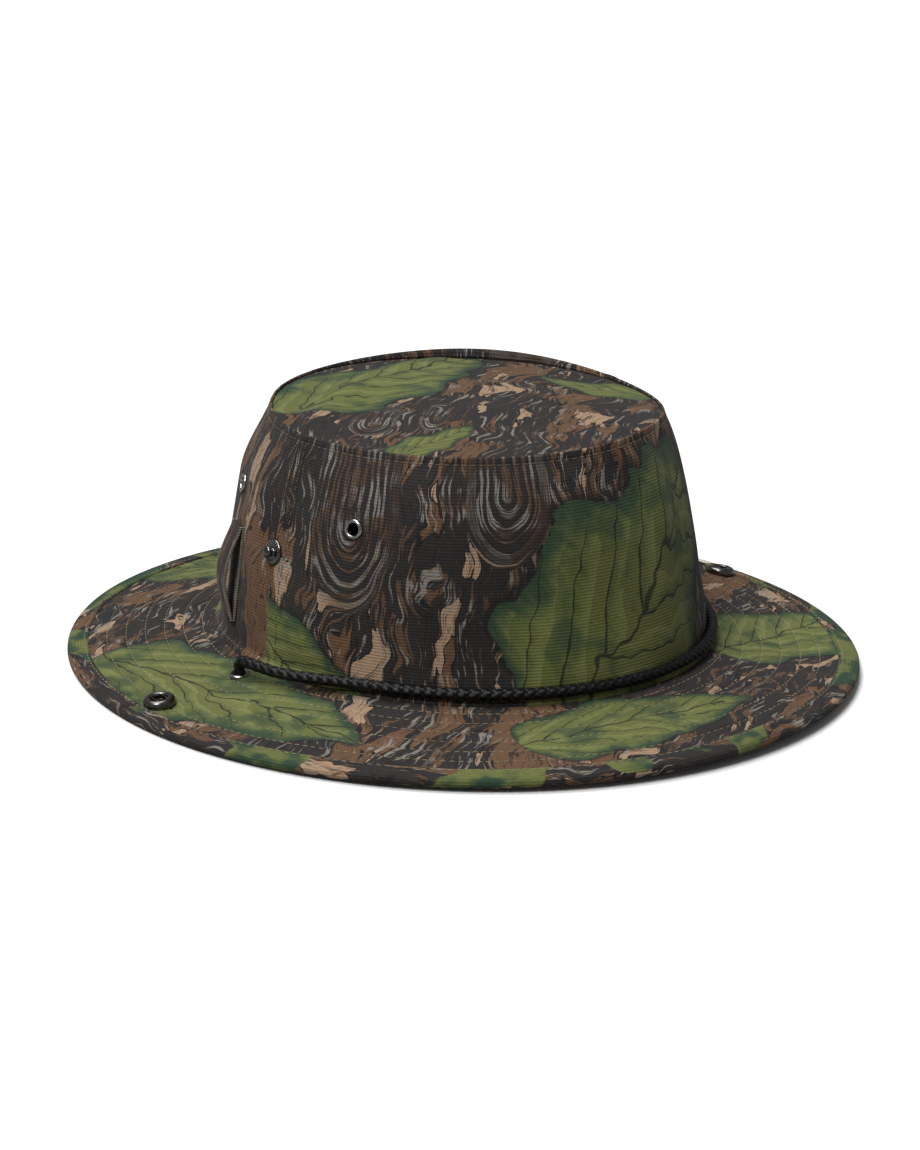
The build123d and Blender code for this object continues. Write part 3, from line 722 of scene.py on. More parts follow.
# ---- Repeated pieces -----------------------------------------------------------------------------
def stitch_tree():
    """Geometry nodes: capsules laid along every edge line, turned by the line's own directions."""
    old = bpy.data.node_groups.get("stitch_lines")
    if old:
        return old
    tree = bpy.data.node_groups.new("stitch_lines", "GeometryNodeTree")
    face = tree.interface
    face.new_socket("Geometry", in_out="INPUT", socket_type="NodeSocketGeometry")
    for name in ("Pitch", "Length", "Width", "Height"):
        face.new_socket(name, in_out="INPUT", socket_type="NodeSocketFloat")
    face.new_socket("Material", in_out="INPUT", socket_type="NodeSocketMaterial")
    face.new_socket("Geometry", in_out="OUTPUT", socket_type="NodeSocketGeometry")

    def add(kind, settings=None, **values):
        made = tree.nodes.new(kind)
        for key, value in (settings or {}).items():
            setattr(made, key, value)
        for key, value in values.items():
            socket = made.inputs[key.replace("_", " ")]
            if isinstance(value, bpy.types.NodeSocket):
                tree.links.new(value, socket)
            else:
                socket.default_value = value
        return made

    given = add("NodeGroupInput").outputs
    curve = add("GeometryNodeMeshToCurve", Mesh=given["Geometry"]).outputs[0]
    by_length, vector = {"mode": "LENGTH"}, {"data_type": "FLOAT_VECTOR"}
    spaced = add("GeometryNodeResampleCurve", by_length, Curve=curve, Length=given["Pitch"]).outputs[0]
    heading = add("GeometryNodeInputNamedAttribute", vector, Name="heading").outputs[0]
    upward = add("GeometryNodeInputNamedAttribute", vector, Name="upward").outputs[0]
    first = add("FunctionNodeAlignRotationToVector", {"axis": "X"}, Vector=heading).outputs[0]
    turned = add("FunctionNodeAlignRotationToVector", {"axis": "Z", "pivot_axis": "X"},
                 Rotation=first, Vector=upward).outputs[0]
    bead = add("GeometryNodeMeshUVSphere", Segments=6, Rings=4, Radius=0.5).outputs[0]
    size = add("ShaderNodeCombineXYZ", X=given["Length"], Y=given["Width"], Z=given["Height"]).outputs[0]
    placed = add("GeometryNodeInstanceOnPoints", Points=spaced, Instance=bead, Rotation=turned,
                 Scale=size).outputs[0]
    real = add("GeometryNodeRealizeInstances", Geometry=placed).outputs[0]
    done = add("GeometryNodeSetMaterial", Geometry=real, Material=given["Material"]).outputs[0]
    result = add("NodeGroupOutput")
    tree.links.new(done, result.inputs[0])
    return tree


def stitch_lines(name, lines, material, pitch, length, width, height):
    """Capsules along lines; each line is (points, headings, upwards)."""
    points, edges, heads, ups = [], [], [], []
    for place, heading, upward in lines:
        start = len(points)
        points += [tuple(p) for p in place]
        heads += [tuple(h) for h in heading]
        ups += [tuple(u) for u in upward]
        edges += [(start + k, start + k + 1) for k in range(len(place) - 1)]
    mesh = bpy.data.meshes.new(name)
    mesh.from_pydata(points, edges, [])
    for label, rows in (("heading", heads), ("upward", ups)):
        layer = mesh.attributes.new(label, "FLOAT_VECTOR", "POINT")
        layer.data.foreach_set("vector", np.array(rows, np.float32).ravel())
    obj = bpy.data.objects.new(name, mesh)
    bpy.context.scene.collection.objects.link(obj)
    tree = stitch_tree()
    nodes = obj.modifiers.new("stitches", "NODES")
    nodes.node_group = tree
    values = {"Pitch": pitch, "Length": length, "Width": width, "Height": height, "Material": material}
    for item in tree.interface.items_tree:
        if item.in_out == "INPUT" and item.name in values:
            nodes[item.identifier] = values[item.name]
    return plain(obj)


TURN_STEPS = 48


def turned_ring(name, profile, origin, normal):
    """Closed or axis-ended profile of (radius, height) pairs turned round a plane's normal."""
    normal = Vector(normal).normalized()
    side = normal.orthogonal().normalized()
    other = normal.cross(side)
    turns = np.linspace(0, 2 * math.pi, TURN_STEPS, endpoint=False)
    ring = np.cos(turns)[:, None] * np.array(side) + np.sin(turns)[:, None] * np.array(other)
    profile = np.array(profile, float) * MM
    points = np.array(origin) + profile[None, :, :1] * ring[:, None, :]
    points = points + profile[None, :, 1:] * np.array(normal)
    closed = bool(profile[0, 0] > 1e-7 or profile[-1, 0] > 1e-7)
    faces = grid_faces(TURN_STEPS, len(profile), wrap_rows=True, wrap_columns=closed)
    obj = new_object(name, points.reshape(-1, 3), faces)
    return tidy_normals(obj, merge=1e-6)


def merged(name, parts):
    """Join objects into one."""
    for part in bpy.context.selected_objects:
        part.select_set(False)
    for part in parts:
        part.select_set(True)
    bpy.context.view_layer.objects.active = parts[0]
    bpy.ops.object.join()
    obj = parts[0]
    obj.name = obj.data.name = name
    obj.select_set(False)
    return obj


def open_holes(obj, places, radius):
    """Take away the faces round each place's axis; a flange covers the hole's edge."""
    work = bmesh.new()
    work.from_mesh(obj.data)
    gone = []
    near = 8 * MM
    for face in work.faces:
        middle = np.array(face.calc_center_median())
        for base, normal in places:
            gap = middle - base
            if gap @ gap < near**2 and np.linalg.norm(gap - (gap @ normal) * normal) < radius:
                gone.append(face)
    bmesh.ops.delete(work, geom=gone, context="FACES")
    work.to_mesh(obj.data)
    work.free()


# ---- Operators: cloth ----------------------------------------------------------------------------
class BuildCrownWall(bpy.types.Operator):
    """Build the two wall panels with their rolled rim, felled side seams and base ledge"""

    bl_idname = "hat.crown_wall"
    bl_label = "Crown wall"

    def execute(self, context):
        size = context.scene.hat_sizes
        ledge_shares = [-0.012, 0.0, 0.008, 0.016, 0.024, 0.032, 0.042, 0.055]
        shares = np.concatenate([ledge_shares, np.linspace(0.075, 1.0, 60)])
        rolls = np.linspace(0, 1, 14)[1:]
        for end, start, cloth in (("front", RIGHT, 0.0), ("back", LEFT, BACK_CLOTH)):
            angles = np.linspace(start, start + math.pi, 261)
            low = wall_point(angles[None, :], shares[:, None])
            high = rim_point(angles[None, :], rolls[:, None])
            points = np.concatenate([low, high])
            rise = np.concatenate([[0], np.cumsum(np.linalg.norm(np.diff(points[:, 100], axis=0), axis=1))])
            u, v = np.meshgrid(arc(angles) - cloth, rise)
            obj = new_object(f"crown_{end}", points.reshape(-1, 3), grid_faces(*points.shape[:2]),
                             np.stack([u.ravel(), v.ravel()], -1))
            vents = [wall_place(f"{side}_{end}_vent_eyelet") for side in ("right", "left")]
            open_holes(obj, vents, VENT_HOLE_R)
            thicken(obj, size.cloth)
            dress(obj, finishes()["wall"], "hat", [f"crown_{end}_panel"])
        return {"FINISHED"}


class BuildCrownTip(bpy.types.Operator):
    """Build the domed and creased oval tip"""

    bl_idname = "hat.crown_tip"
    bl_label = "Crown tip"

    def execute(self, context):
        angles = np.linspace(0, 2 * math.pi, 256, endpoint=False)
        seam = rim_point(angles, 1.0)
        shares = np.concatenate([[1.012, 1.0, 0.992], np.linspace(0.975, 0.02, 64)])
        level = TIP_Z - 1.5 * MM
        rings = []
        for share in shares:
            ring = seam * [share, share, 1]
            inner = min(share, 1.0)
            groove = -0.5 * MM if share >= 0.999 else 0.0
            ring[:, 2] = seam[:, 2] * inner**2 + level * (1 - inner**2) + groove
            ring[:, 2] += tip_height(ring[:, 0], ring[:, 1], inner)
            rings.append(ring)
        points = np.array(rings)
        middle = points[-1].mean(0)
        verts = np.concatenate([points.reshape(-1, 3), [middle]])
        faces = grid_faces(len(shares), len(angles), wrap_columns=True)
        last = (len(shares) - 1) * len(angles)
        faces += [[last + k, last + (k + 1) % len(angles), len(verts) - 1] for k in range(len(angles))]
        obj = new_object("crown_tip_cloth", verts, faces, verts[:, :2])
        tidy_normals(obj)
        face_towards(obj, (0, 0, 1), len(obj.data.polygons) // 2)
        thicken(obj, context.scene.hat_sizes.cloth)
        dress(obj, finishes()["tip"], "hat", ["crown_tip"])
        return {"FINISHED"}


def brim_half_angles(sign, count=241):
    """Angles round one half of the brim, from its middle line at the front or back to the other."""
    middle = RIGHT if sign < 0 else LEFT
    return np.linspace(middle - math.pi / 2, middle + math.pi / 2, count)


def closed_strip(name, points, uvs):
    """Closed tube of a cross-section swept along rows, with its two ends capped."""
    obj = new_object(name, points.reshape(-1, 3), tube_faces(*points.shape[:2]), uvs.reshape(-1, 2))
    return tidy_normals(obj)


class BuildBrim(bpy.types.Operator):
    """Build the brim's two quilted halves"""

    bl_idname = "hat.brim"
    bl_label = "Brim"

    def execute(self, context):
        rows = brim_rows()
        inner, outer = -1.5 * MM, BRIM_W - 1.6 * MM
        beside = (-2.6, -1.3, -0.7, -0.3, 0, 0.3, 0.7, 1.3, 2.6)
        runs = {row + gap * MM for row in rows for gap in beside}
        runs |= {inner, 0.0, outer, rows[-1] - 4 * MM, BRIM_W - BINDING_W, BRIM_W - 4 * MM}
        runs = np.array(sorted(r for r in runs if inner <= r <= outer))
        groove = sum(0.42 * MM * np.exp(-(((runs - r) / (0.55 * MM)) ** 2)) for r in rows)
        puff = 0.16 * MM * np.sin(np.clip((runs - rows[-1]) / (rows[0] - rows[-1]), 0, 1) * math.pi)
        section = np.concatenate([np.stack([runs, groove - puff], -1),
                                  np.stack([runs, BRIM_T - groove + puff], -1)[::-1]])
        for sign, side in ((-1, "right"), (1, "left")):
            angles = brim_half_angles(sign)
            points = brim_point(angles[:, None], section[None, :, 0], section[None, :, 1])
            obj = closed_strip(f"brim_{side}", points, points[..., :2])
            nodes = [f"{layer}{end}" for layer in ("brim_top_ply", "brim_interlining", "brim_bottom_ply")
                     for end in ("", f"_{side}")]
            dress(obj, finishes()["brim"], None, nodes)
            bend_with_side(obj)
        return {"FINISHED"}


# The binding's cross-section, from the inner top edge, round the brim's edge, to the inner bottom edge and
# back along the brim's faces: distance from the inner edge and depth under the brim's top, in millimetres.
BINDING_SECTION = (
    (0.0, -0.10), (0.25, -0.62), (0.9, -0.80), (2.2, -0.88), (4.0, -0.86), (6.0, -0.82), (7.0, -0.62),
    (7.6, -0.10), (7.95, 0.60), (8.0, 1.15), (7.9, 1.8), (7.5, 2.45), (6.8, 2.90), (5.6, 3.06),
    (3.6, 3.08), (1.6, 3.04), (0.5, 2.96), (0.0, 2.5), (0.0, 2.22), (3.0, 2.25), (6.0, 2.0),
    (6.5, 1.1), (6.0, 0.2), (3.0, -0.04), (0.0, -0.02),
)
SELVEDGE_ANGLES = (5.5, 9.5)  # the bare patch's ends, in degrees from the left side
SELVEDGE_SECTION = ((0.4, -0.98), (1.0, -1.02), (3.0, -1.04), (5.0, -1.02), (6.6, -0.9))


class BuildBinding(bpy.types.Operator):
    """Build the folded binding round the brim's edge, with its bare selvedge patch"""

    bl_idname = "hat.binding"
    bl_label = "Brim binding"

    def execute(self, context):
        inner = BRIM_W - BINDING_W
        section = np.array(BINDING_SECTION) * MM
        length = np.concatenate([[0], np.cumsum(np.hypot(*np.diff(section, axis=0).T))])
        for sign, side in ((-1, "right"), (1, "left")):
            angles = brim_half_angles(sign, 361)
            soft = (section[:, 0] > 2 * MM) & (section[:, 0] < 7 * MM)
            pucker = 0.12 * MM * np.sin(angles[:, None] * 170) * soft[None, :]
            points = brim_point(angles[:, None], inner + section[None, :, 0], section[None, :, 1] + pucker)
            points[..., 2] = np.maximum(points[..., 2], 0.02 * MM)
            u, v = np.broadcast_arrays(arc(angles)[:, None] * 1.6, length[None, :])
            obj = closed_strip(f"binding_{side}", points, np.stack([u, v], -1))
            nodes = [f"brim_binding_{end}" for end in (side, "front", "back")]
            dress(obj, finishes()["binding"], None, nodes)
            bend_with_side(obj)
        # A short stretch of bare selvedge where the binding's end laps over.
        angles = np.radians(np.linspace(*SELVEDGE_ANGLES, 12))
        runs, depths = np.array(SELVEDGE_SECTION).T * MM
        points = brim_point(angles[:, None], inner + runs[None, :], depths[None, :])
        flat = points.reshape(-1, 3)
        obj = new_object("binding_selvedge", flat, grid_faces(*points.shape[:2]), flat[:, :2])
        face_towards(obj, (0, 0, 1))
        thicken(obj, 0.12 * MM)
        dress(obj, finishes()["selvedge"], "left_brim")
        return {"FINISHED"}


class BuildStitching(bpy.types.Operator):
    """Lay the stitch rows of the brim, its binding and the crown"""

    bl_idname = "hat.stitching"
    bl_label = "Stitching"

    def execute(self, context):
        sunk = 0.30 * MM  # the quilting's stitches lie in their grooves
        edge_row = BRIM_W - BINDING_W + 1.5 * MM
        for sign, side in ((-1, "right"), (1, "left")):
            angles = brim_half_angles(sign, 361)
            rows = [self.brim_row(angles, run, depth)
                    for depth in (sunk, BRIM_T - sunk) for run in brim_rows()]
            obj = self.sew(f"quilting_{side}", rows, "thread", "printed_cloth")
            bend_with_side(obj)
            rows = [self.brim_row(angles, edge_row, depth) for depth in (-0.84 * MM, 3.04 * MM)]
            obj = self.sew(f"binding_stitches_{side}", rows, "thread", "binding_tape")
            bend_with_side(obj)
        rows = []
        shares = np.linspace(0.05, 0.985, 90)
        for start in (RIGHT, LEFT):
            angles = np.linspace(start, start + math.pi, 361)
            rows += [self.wall_row(angles, share) for share in (0.995, 0.020)]
            rows += [self.wall_row(np.full(90, start + gap * MM / HEAD_Y), shares) for gap in (1.0, 6.4)]
        obj = self.sew("crown_stitches", rows, "dark_thread", "printed_cloth")
        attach(obj, "hat")
        return {"FINISHED"}

    def sew(self, name, rows, thread, slot):
        """Plain stitches along rows."""
        size, finish = bpy.context.scene.hat_sizes, finishes()[thread]
        pitch = size.stitch + 0.75 * MM
        obj = stitch_lines(name, rows, finish, pitch, size.stitch, size.thread, size.thread)
        return dress(obj, finish)

    def brim_row(self, angles, run, depth):
        """Points, headings and upward directions round the brim."""
        points = brim_point(angles, run, depth)
        return points, np.gradient(points, axis=0), np.repeat([[0, 0, 1.0]], len(angles), 0)

    def wall_row(self, angles, share):
        """Points, headings and outward directions on the wall."""
        points = wall_point(angles, share)
        out = points * [1, 1, 0]
        out /= np.linalg.norm(out, axis=1)[:, None]
        return points + out * 0.05 * MM, np.gradient(points, axis=0), out


LOOP_W, LOOP_T = 12.0 * MM, 0.8 * MM  # the keeper loop's strap
LOOP_ROWS, LOOP_COLUMNS = 41, 13


def loop_frame():
    """The keeper loop's middle on the wall, its sideways, upward and outward directions and its height."""
    low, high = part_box("keeper_loop")
    middle = (low + high) / 2
    angle = math.atan2(middle.y / HEAD_Y, middle.x / HEAD_X)
    share = (middle.z - SEAM_Z) / CROWN_H
    base = wall_point(angle, share)
    above, beside = wall_point(angle, share + 0.05), wall_point(angle + 0.02, share)
    upward, sideways = above - base, beside - base
    upward, sideways = upward / np.linalg.norm(upward), sideways / np.linalg.norm(sideways)
    outward = np.cross(sideways, upward)
    if outward @ (base * [1, 1, 0]) < 0:
        outward = -outward
    return base, sideways, upward, outward, high.z - low.z


class BuildKeeperLoop(bpy.types.Operator):
    """Build the keeper loop's bowed and flat straps with their overcast edges"""

    bl_idname = "hat.keeper_loop"
    bl_label = "Keeper loop"

    def execute(self, context):
        base, sideways, upward, outward, tall = loop_frame()
        bow = context.scene.hat_sizes.loop_bow
        ups = np.linspace(-0.5, 0.5, LOOP_ROWS)
        across = np.linspace(-LOOP_W / 2, LOOP_W / 2, LOOP_COLUMNS)
        kit = finishes()
        lines, straps = [], []
        for label, rise in (("outer", bow), ("inner", 0.0)):
            off = 0.95 * MM + rise * np.cos(ups * math.pi * 0.94) ** 1.4 + (0.9 * MM if rise else 0)
            slack = 1 + 0.03 * np.cos(across / (8 * MM) * 2)
            points = (base + ups[:, None, None] * tall * upward + across[None, :, None] * sideways
                      + (off[:, None] * slack[None, :])[..., None] * outward)
            uvs = np.stack(np.broadcast_arrays(across[None, :] + LOOP_CLOTH, ups[:, None] * tall), -1)
            obj = new_object(f"keeper_{label}", points.reshape(-1, 3), grid_faces(LOOP_ROWS, LOOP_COLUMNS),
                             uvs.reshape(-1, 2))
            face_towards(obj, outward, len(obj.data.polygons) // 2)
            straps.append(thicken(obj, LOOP_T))
            for edge, way in ((0, -1), (-1, 1)):
                line = points[:, edge] + sideways * way * 0.1 * MM - outward * LOOP_T / 2
                lines.append((line, *(np.repeat([v], LOOP_ROWS, 0) for v in (outward, sideways * way))))
        obj = merged("keeper_loop_cloth", straps)
        dress(obj, kit["wall"], "hat", ["keeper_loop"])
        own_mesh(obj)
        edges = stitch_lines("keeper_overcast", lines, kit["edge_thread"], pitch=0.62 * MM, length=1.35 * MM,
                             width=0.42 * MM, height=0.7 * MM)
        dress(edges, kit["edge_thread"], "hat")
        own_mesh(edges)
        return {"FINISHED"}


BAND_LEVELS = 16


def inner_band(name, node, inset, thickness, finish, angles, trim=0.0, wrap=True):
    """Band inside the wall, between the heights of a CAD node's box."""
    low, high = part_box(node)
    levels = np.linspace(low.z, high.z - trim, BAND_LEVELS)
    points = wall_point(angles[None, :], (levels[:, None] - SEAM_Z) / CROWN_H)
    way = points * [1, 1, 0]
    way /= np.linalg.norm(way, axis=-1)[..., None]
    points = points - way * (inset + 0.10 * MM * np.sin(angles * 37)[None, :])[..., None]
    uvs = np.stack(np.broadcast_arrays(arc(angles)[None, :], levels[:, None]), -1)
    faces = grid_faces(BAND_LEVELS, len(angles), wrap_columns=wrap)
    obj = new_object(name, points.reshape(-1, 3), faces, uvs.reshape(-1, 2))
    thicken(obj, thickness)
    return dress(obj, finishes()[finish], "hat", [node])


class BuildInside(bpy.types.Operator):
    """Build the sweatband and the seam tapes inside the crown"""

    bl_idname = "hat.inside"
    bl_label = "Sweatband and tapes"

    def execute(self, context):
        full = np.linspace(0, 2 * math.pi, 240, endpoint=False)
        band = inner_band("sweatband_cloth", "sweatband", 1.25 * MM, 0.9 * MM, "band",
                          full)
        inner_band("tip_tape", "tip_seam_tape", 1.8 * MM, 0.5 * MM, "tape", full, trim=2.5 * MM)
        for side, middle in (("right", RIGHT), ("left", LEFT)):
            angles = middle + np.linspace(-8, 8, 15) * MM / HEAD_Y
            tape = inner_band(f"{side}_seam_tape", f"{side}_side_seam_tape", 1.6 * MM, 0.5 * MM, "tape",
                              angles, wrap=False)
        return {"FINISHED"}


# ---- Operators: hardware -------------------------------------------------------------------------
def node_place(node):
    """Middle of a CAD node's box."""
    low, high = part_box(node)
    return (low + high) / 2


def wall_place(node):
    """Point on the wall's face and its outward normal beside a CAD node."""
    middle = node_place(node)
    angle = math.atan2(middle.y / HEAD_Y, middle.x / HEAD_X)
    share = (middle.z - SEAM_Z) / CROWN_H
    base = wall_point(angle, share)
    side = wall_point(angle + 0.03, share) - wall_point(angle - 0.03, share)
    rise = wall_point(angle, share + 0.03) - wall_point(angle, share - 0.03)
    normal = np.cross(side, rise)
    return base, normal / np.linalg.norm(normal)


def brim_place(node):
    """Point on the brim's top face over a CAD node, and the face's normal."""
    middle = node_place(node)
    sign = math.copysign(1, middle.x)
    run = abs(middle.x) - HEAD_X
    base = brim_point(RIGHT if sign < 0 else LEFT, run)
    return base, np.array([sign * BRIM_SLOPE, 0, 1]) / math.hypot(1, BRIM_SLOPE)


# Profiles of the turned metal, as radius and height over the cloth's face, in millimetres.
WASHER = ((2.8, 0.0), (4.1, 0.0), (4.4, -0.2), (4.3, -0.5), (2.8, -0.6))
EYELET_RING = (
    (2.25, -2.4), (2.25, 0.35), (2.32, 0.72), (2.55, 0.98), (2.85, 1.05), (3.2, 0.98), (3.5, 0.74),
    (3.68, 0.40), (3.70, 0.02), (3.55, -0.05), (2.75, -0.05), (2.70, -2.4), (2.9, -2.7), (2.6, -2.95),
    (2.3, -2.75),
)
STUD = (
    (0, 3.9), (0.9, 3.85), (1.65, 3.6), (2.1, 3.15), (2.15, 2.7), (1.9, 2.3), (1.45, 2.05), (1.45, 1.0),
    (2.2, 0.85), (3.0, 0.95), (3.4, 1.15), (4.4, 0.95), (4.85, 0.6), (4.9, 0.1), (4.6, 0.0), (0, 0.0),
)
POST = ((0, -2.8), (4.3, -2.75), (4.8, -2.5), (4.6, -2.15), (1.4, -2.15), (1.4, 0.9), (0, 0.9))
SOCKET_WALL = (
    (2.95, 0.5), (2.95, 2.2), (3.2, 2.75), (3.8, 3.05), (4.5, 3.0), (5.2, 2.7), (5.65, 2.1), (5.85, 1.3),
    (5.9, 0.3), (5.7, 0.0), (3.2, 0.0),
)
SOCKET_FLOOR = ((0, 0.35), (2.8, 0.35), (3.1, 0.3), (3.1, 0.05), (0, 0.05))
SOCKET_CAP = (
    (0, 0.0), (5.4, 0.0), (5.85, -0.2), (5.9, -0.5), (5.5, -0.95), (4.4, -1.2), (2.2, -1.32), (0, -1.35),
)
CORD_RING_MORE = 0.22  # the cord eyelets are this much wider in radius than the vents
CORD_RING_DEEPER = 1.3  # and their barrels are this much longer
SEAT = 0.1 * MM  # the snaps' plates stand this far off the cloth
BEAD_RING_R = 3.95 * MM


def turned_metal(name, profile, base, normal, finish, body, node):
    """A piece of turned, plated metal that stands for one CAD node."""
    obj = turned_ring(name, profile, base, normal)
    return dress(obj, finishes()[finish], body, [node])


class BuildEyelets(bpy.types.Operator):
    """Build the rolled vent and cord eyelets"""

    bl_idname = "hat.eyelets"
    bl_label = "Eyelets"

    def execute(self, context):
        cord_ring = [(r + CORD_RING_MORE, h if h > -1 else h - CORD_RING_DEEPER) for r, h in EYELET_RING]
        cord_washer = [(r + CORD_RING_MORE, h) for r, h in WASHER]
        for side in ("right", "left"):
            for end in ("front", "back"):
                name, node = f"{side}_{end}_vent", f"{side}_{end}_vent_eyelet"
                base, normal = wall_place(node)
                turned_metal(name, EYELET_RING, base, normal, "bright", "hat", node)
                under = base - normal * 1.0 * MM
                turned_metal(f"{name}_washer", WASHER, under, normal, "bright", "hat", f"{node}_washer")
            body, node = f"{side}_brim", f"{side}_cord_eyelet"
            base, normal = brim_place(node)
            turned_metal(f"{side}_cord_ring", cord_ring, base, normal, "bright", body, node)
            under = base - normal * (BRIM_T + 0.15 * MM)
            turned_metal(f"{side}_cord_washer", cord_washer, under, normal, "bright", body, f"{node}_washer")
        return {"FINISHED"}


class BuildSnaps(bpy.types.Operator):
    """Build the studs on the wall and the spring sockets on the brim"""

    bl_idname = "hat.snaps"
    bl_label = "Snaps"

    def execute(self, context):
        for side in ("right", "left"):
            base, normal = wall_place(f"{side}_crown_stud")
            plate = turned_ring(f"{side}_stud", STUD, base + normal * SEAT, normal)
            circle = self.circle(base + normal * 0.95 * MM, normal, BEAD_RING_R)
            finish = finishes()["gunmetal"]
            beads = stitch_lines(f"{side}_stud_beads", [circle], finish, pitch=1.05 * MM, length=0.86 * MM,
                                 width=0.86 * MM, height=0.8 * MM)
            stud = merged(f"{side}_stud", [plate, beads])
            dress(stud, finish, "hat", [f"{side}_crown_stud"])
            turned_metal(f"{side}_post", POST, base, normal, "bright", "hat", f"{side}_stud_post")
            base, normal = brim_place(f"{side}_brim_socket")
            parts = [turned_ring(f"{side}_socket", SOCKET_WALL, base + normal * SEAT, normal),
                     turned_ring(f"{side}_socket_floor", SOCKET_FLOOR, base + normal * SEAT, normal)]
            parts += [self.spring(base + normal * 2.75 * MM, normal, way) for way in (-1, 1)]
            socket = merged(f"{side}_socket", parts)
            dress(socket, finish, f"{side}_brim", [f"{side}_brim_socket"])
            under = base - normal * (BRIM_T + 0.05 * MM)
            turned_metal(f"{side}_cap", SOCKET_CAP, under, normal, "gunmetal", f"{side}_brim",
                         f"{side}_socket_cap")
        return {"FINISHED"}

    def circle(self, centre, normal, radius):
        """Points, headings and upward directions round a circle."""
        turns = np.linspace(0, 2 * math.pi, 49)
        side = np.array(Vector(normal).orthogonal().normalized())
        other = np.cross(normal, side)
        out = np.cos(turns)[:, None] * side + np.sin(turns)[:, None] * other
        return centre + out * radius, np.gradient(out, axis=0), np.repeat([normal], 49, 0)

    def spring(self, centre, normal, way):
        """Bowed spring wire across one side of the socket's mouth."""
        bend = np.linspace(-1, 1, 17)[:, None]
        along = np.array([0, 1.0, 0])
        across = np.cross(normal, along)
        middle = centre + bend * 2.6 * MM * along + way * (1.95 - 0.2 * bend**2) * MM * across
        turns = np.linspace(0, 2 * math.pi, 10, endpoint=False)
        ring = np.cos(turns)[:, None] * across + np.sin(turns)[:, None] * np.array(normal)
        points = middle[:, None, :] + 0.24 * MM * ring[None]
        return tidy_normals(new_object("spring", points.reshape(-1, 3), tube_faces(17, 10)))


# ---- Operators: chin cord ------------------------------------------------------------------------
BAND_STEPS = 9
BAND_END = 26.0  # angle from the side of the crown where the cord leaves the wall
BAND_OFF = 2.3 * MM  # from the wall's foot to the cord's centre
BAND_Z = SEAM_Z + 4.4 * MM
EYELET_OUT = 10.8 * MM  # from the wall's foot to a cord eyelet's axis
EYELET_X = HEAD_X + EYELET_OUT
FLOOR = 2.2 * MM  # height of a leg's centre where it lies on the floor
LEG_X = 3.8 * MM  # from the middle to each leg in the slider
SLIDER_BORE = ((0, -12), (2.5, -12), (2.5, 12), (0, 12))  # radius and distance along it, in millimetres
# The slider's cross-sections: place along it and size, as shares of half its length and of its full size.
SLIDER_ROWS = (
    (-1, 0.72), (-0.97, 0.86), (-0.88, 0.96), (-0.7, 1.0), (-0.3, 0.97), (0, 0.955),
    (0.3, 0.97), (0.7, 1.0), (0.88, 0.96), (0.97, 0.86), (1, 0.72),
)
# Corners of the legs under the hat, in millimetres.
RIGHT_LEG = (
    (-91, 2, 2.2), (-76, 13, 2.2), (-68, 38, 2.2), (-48, 62, 2.2), (-24, 70, 2.2), (-8, 54, 2.5),
    (-3.9, 30, 3.3), (-3.8, 0, 3.3), (-3.8, -31, 3.3), (-3.9, -62, 3.3),
)
LEFT_LEG = (
    (91, -1, 2.2), (75, 5, 2.2), (62, 24, 2.2), (60, 48, 2.2), (42, 68, 2.2), (20, 70, 2.2), (7, 53, 2.5),
    (3.9, 28, 3.3), (3.8, -2, 3.3), (3.8, -32, 3.3), (3.9, -62, 3.3),
)


def in_bore(sign, height):
    """Point on a cord eyelet's axis."""
    middle = SEAM_Z - BRIM_SLOPE * EYELET_OUT
    return (sign * (EYELET_X + BRIM_SLOPE * (height - middle)), 0, height)


def spline_points(name, route):
    """Points along the smooth NURBS line of a given route."""
    curve = bpy.data.curves.new(name, "CURVE")
    curve.dimensions = "3D"
    curve.resolution_u = 24
    line = curve.splines.new("NURBS")
    line.points.add(len(route) - 1)
    for point, place in zip(line.points, route):
        point.co = (*place, 1)
    line.order_u = 3
    line.use_endpoint_u = True
    obj = bpy.data.objects.new(name, curve)
    bpy.context.scene.collection.objects.link(obj)
    bpy.context.view_layer.update()
    graph = bpy.context.evaluated_depsgraph_get()
    mesh = bpy.data.meshes.new_from_object(obj.evaluated_get(graph), depsgraph=graph)
    points = np.array([v.co for v in mesh.vertices], float)
    bpy.data.objects.remove(obj)
    bpy.data.meshes.remove(mesh)
    return points


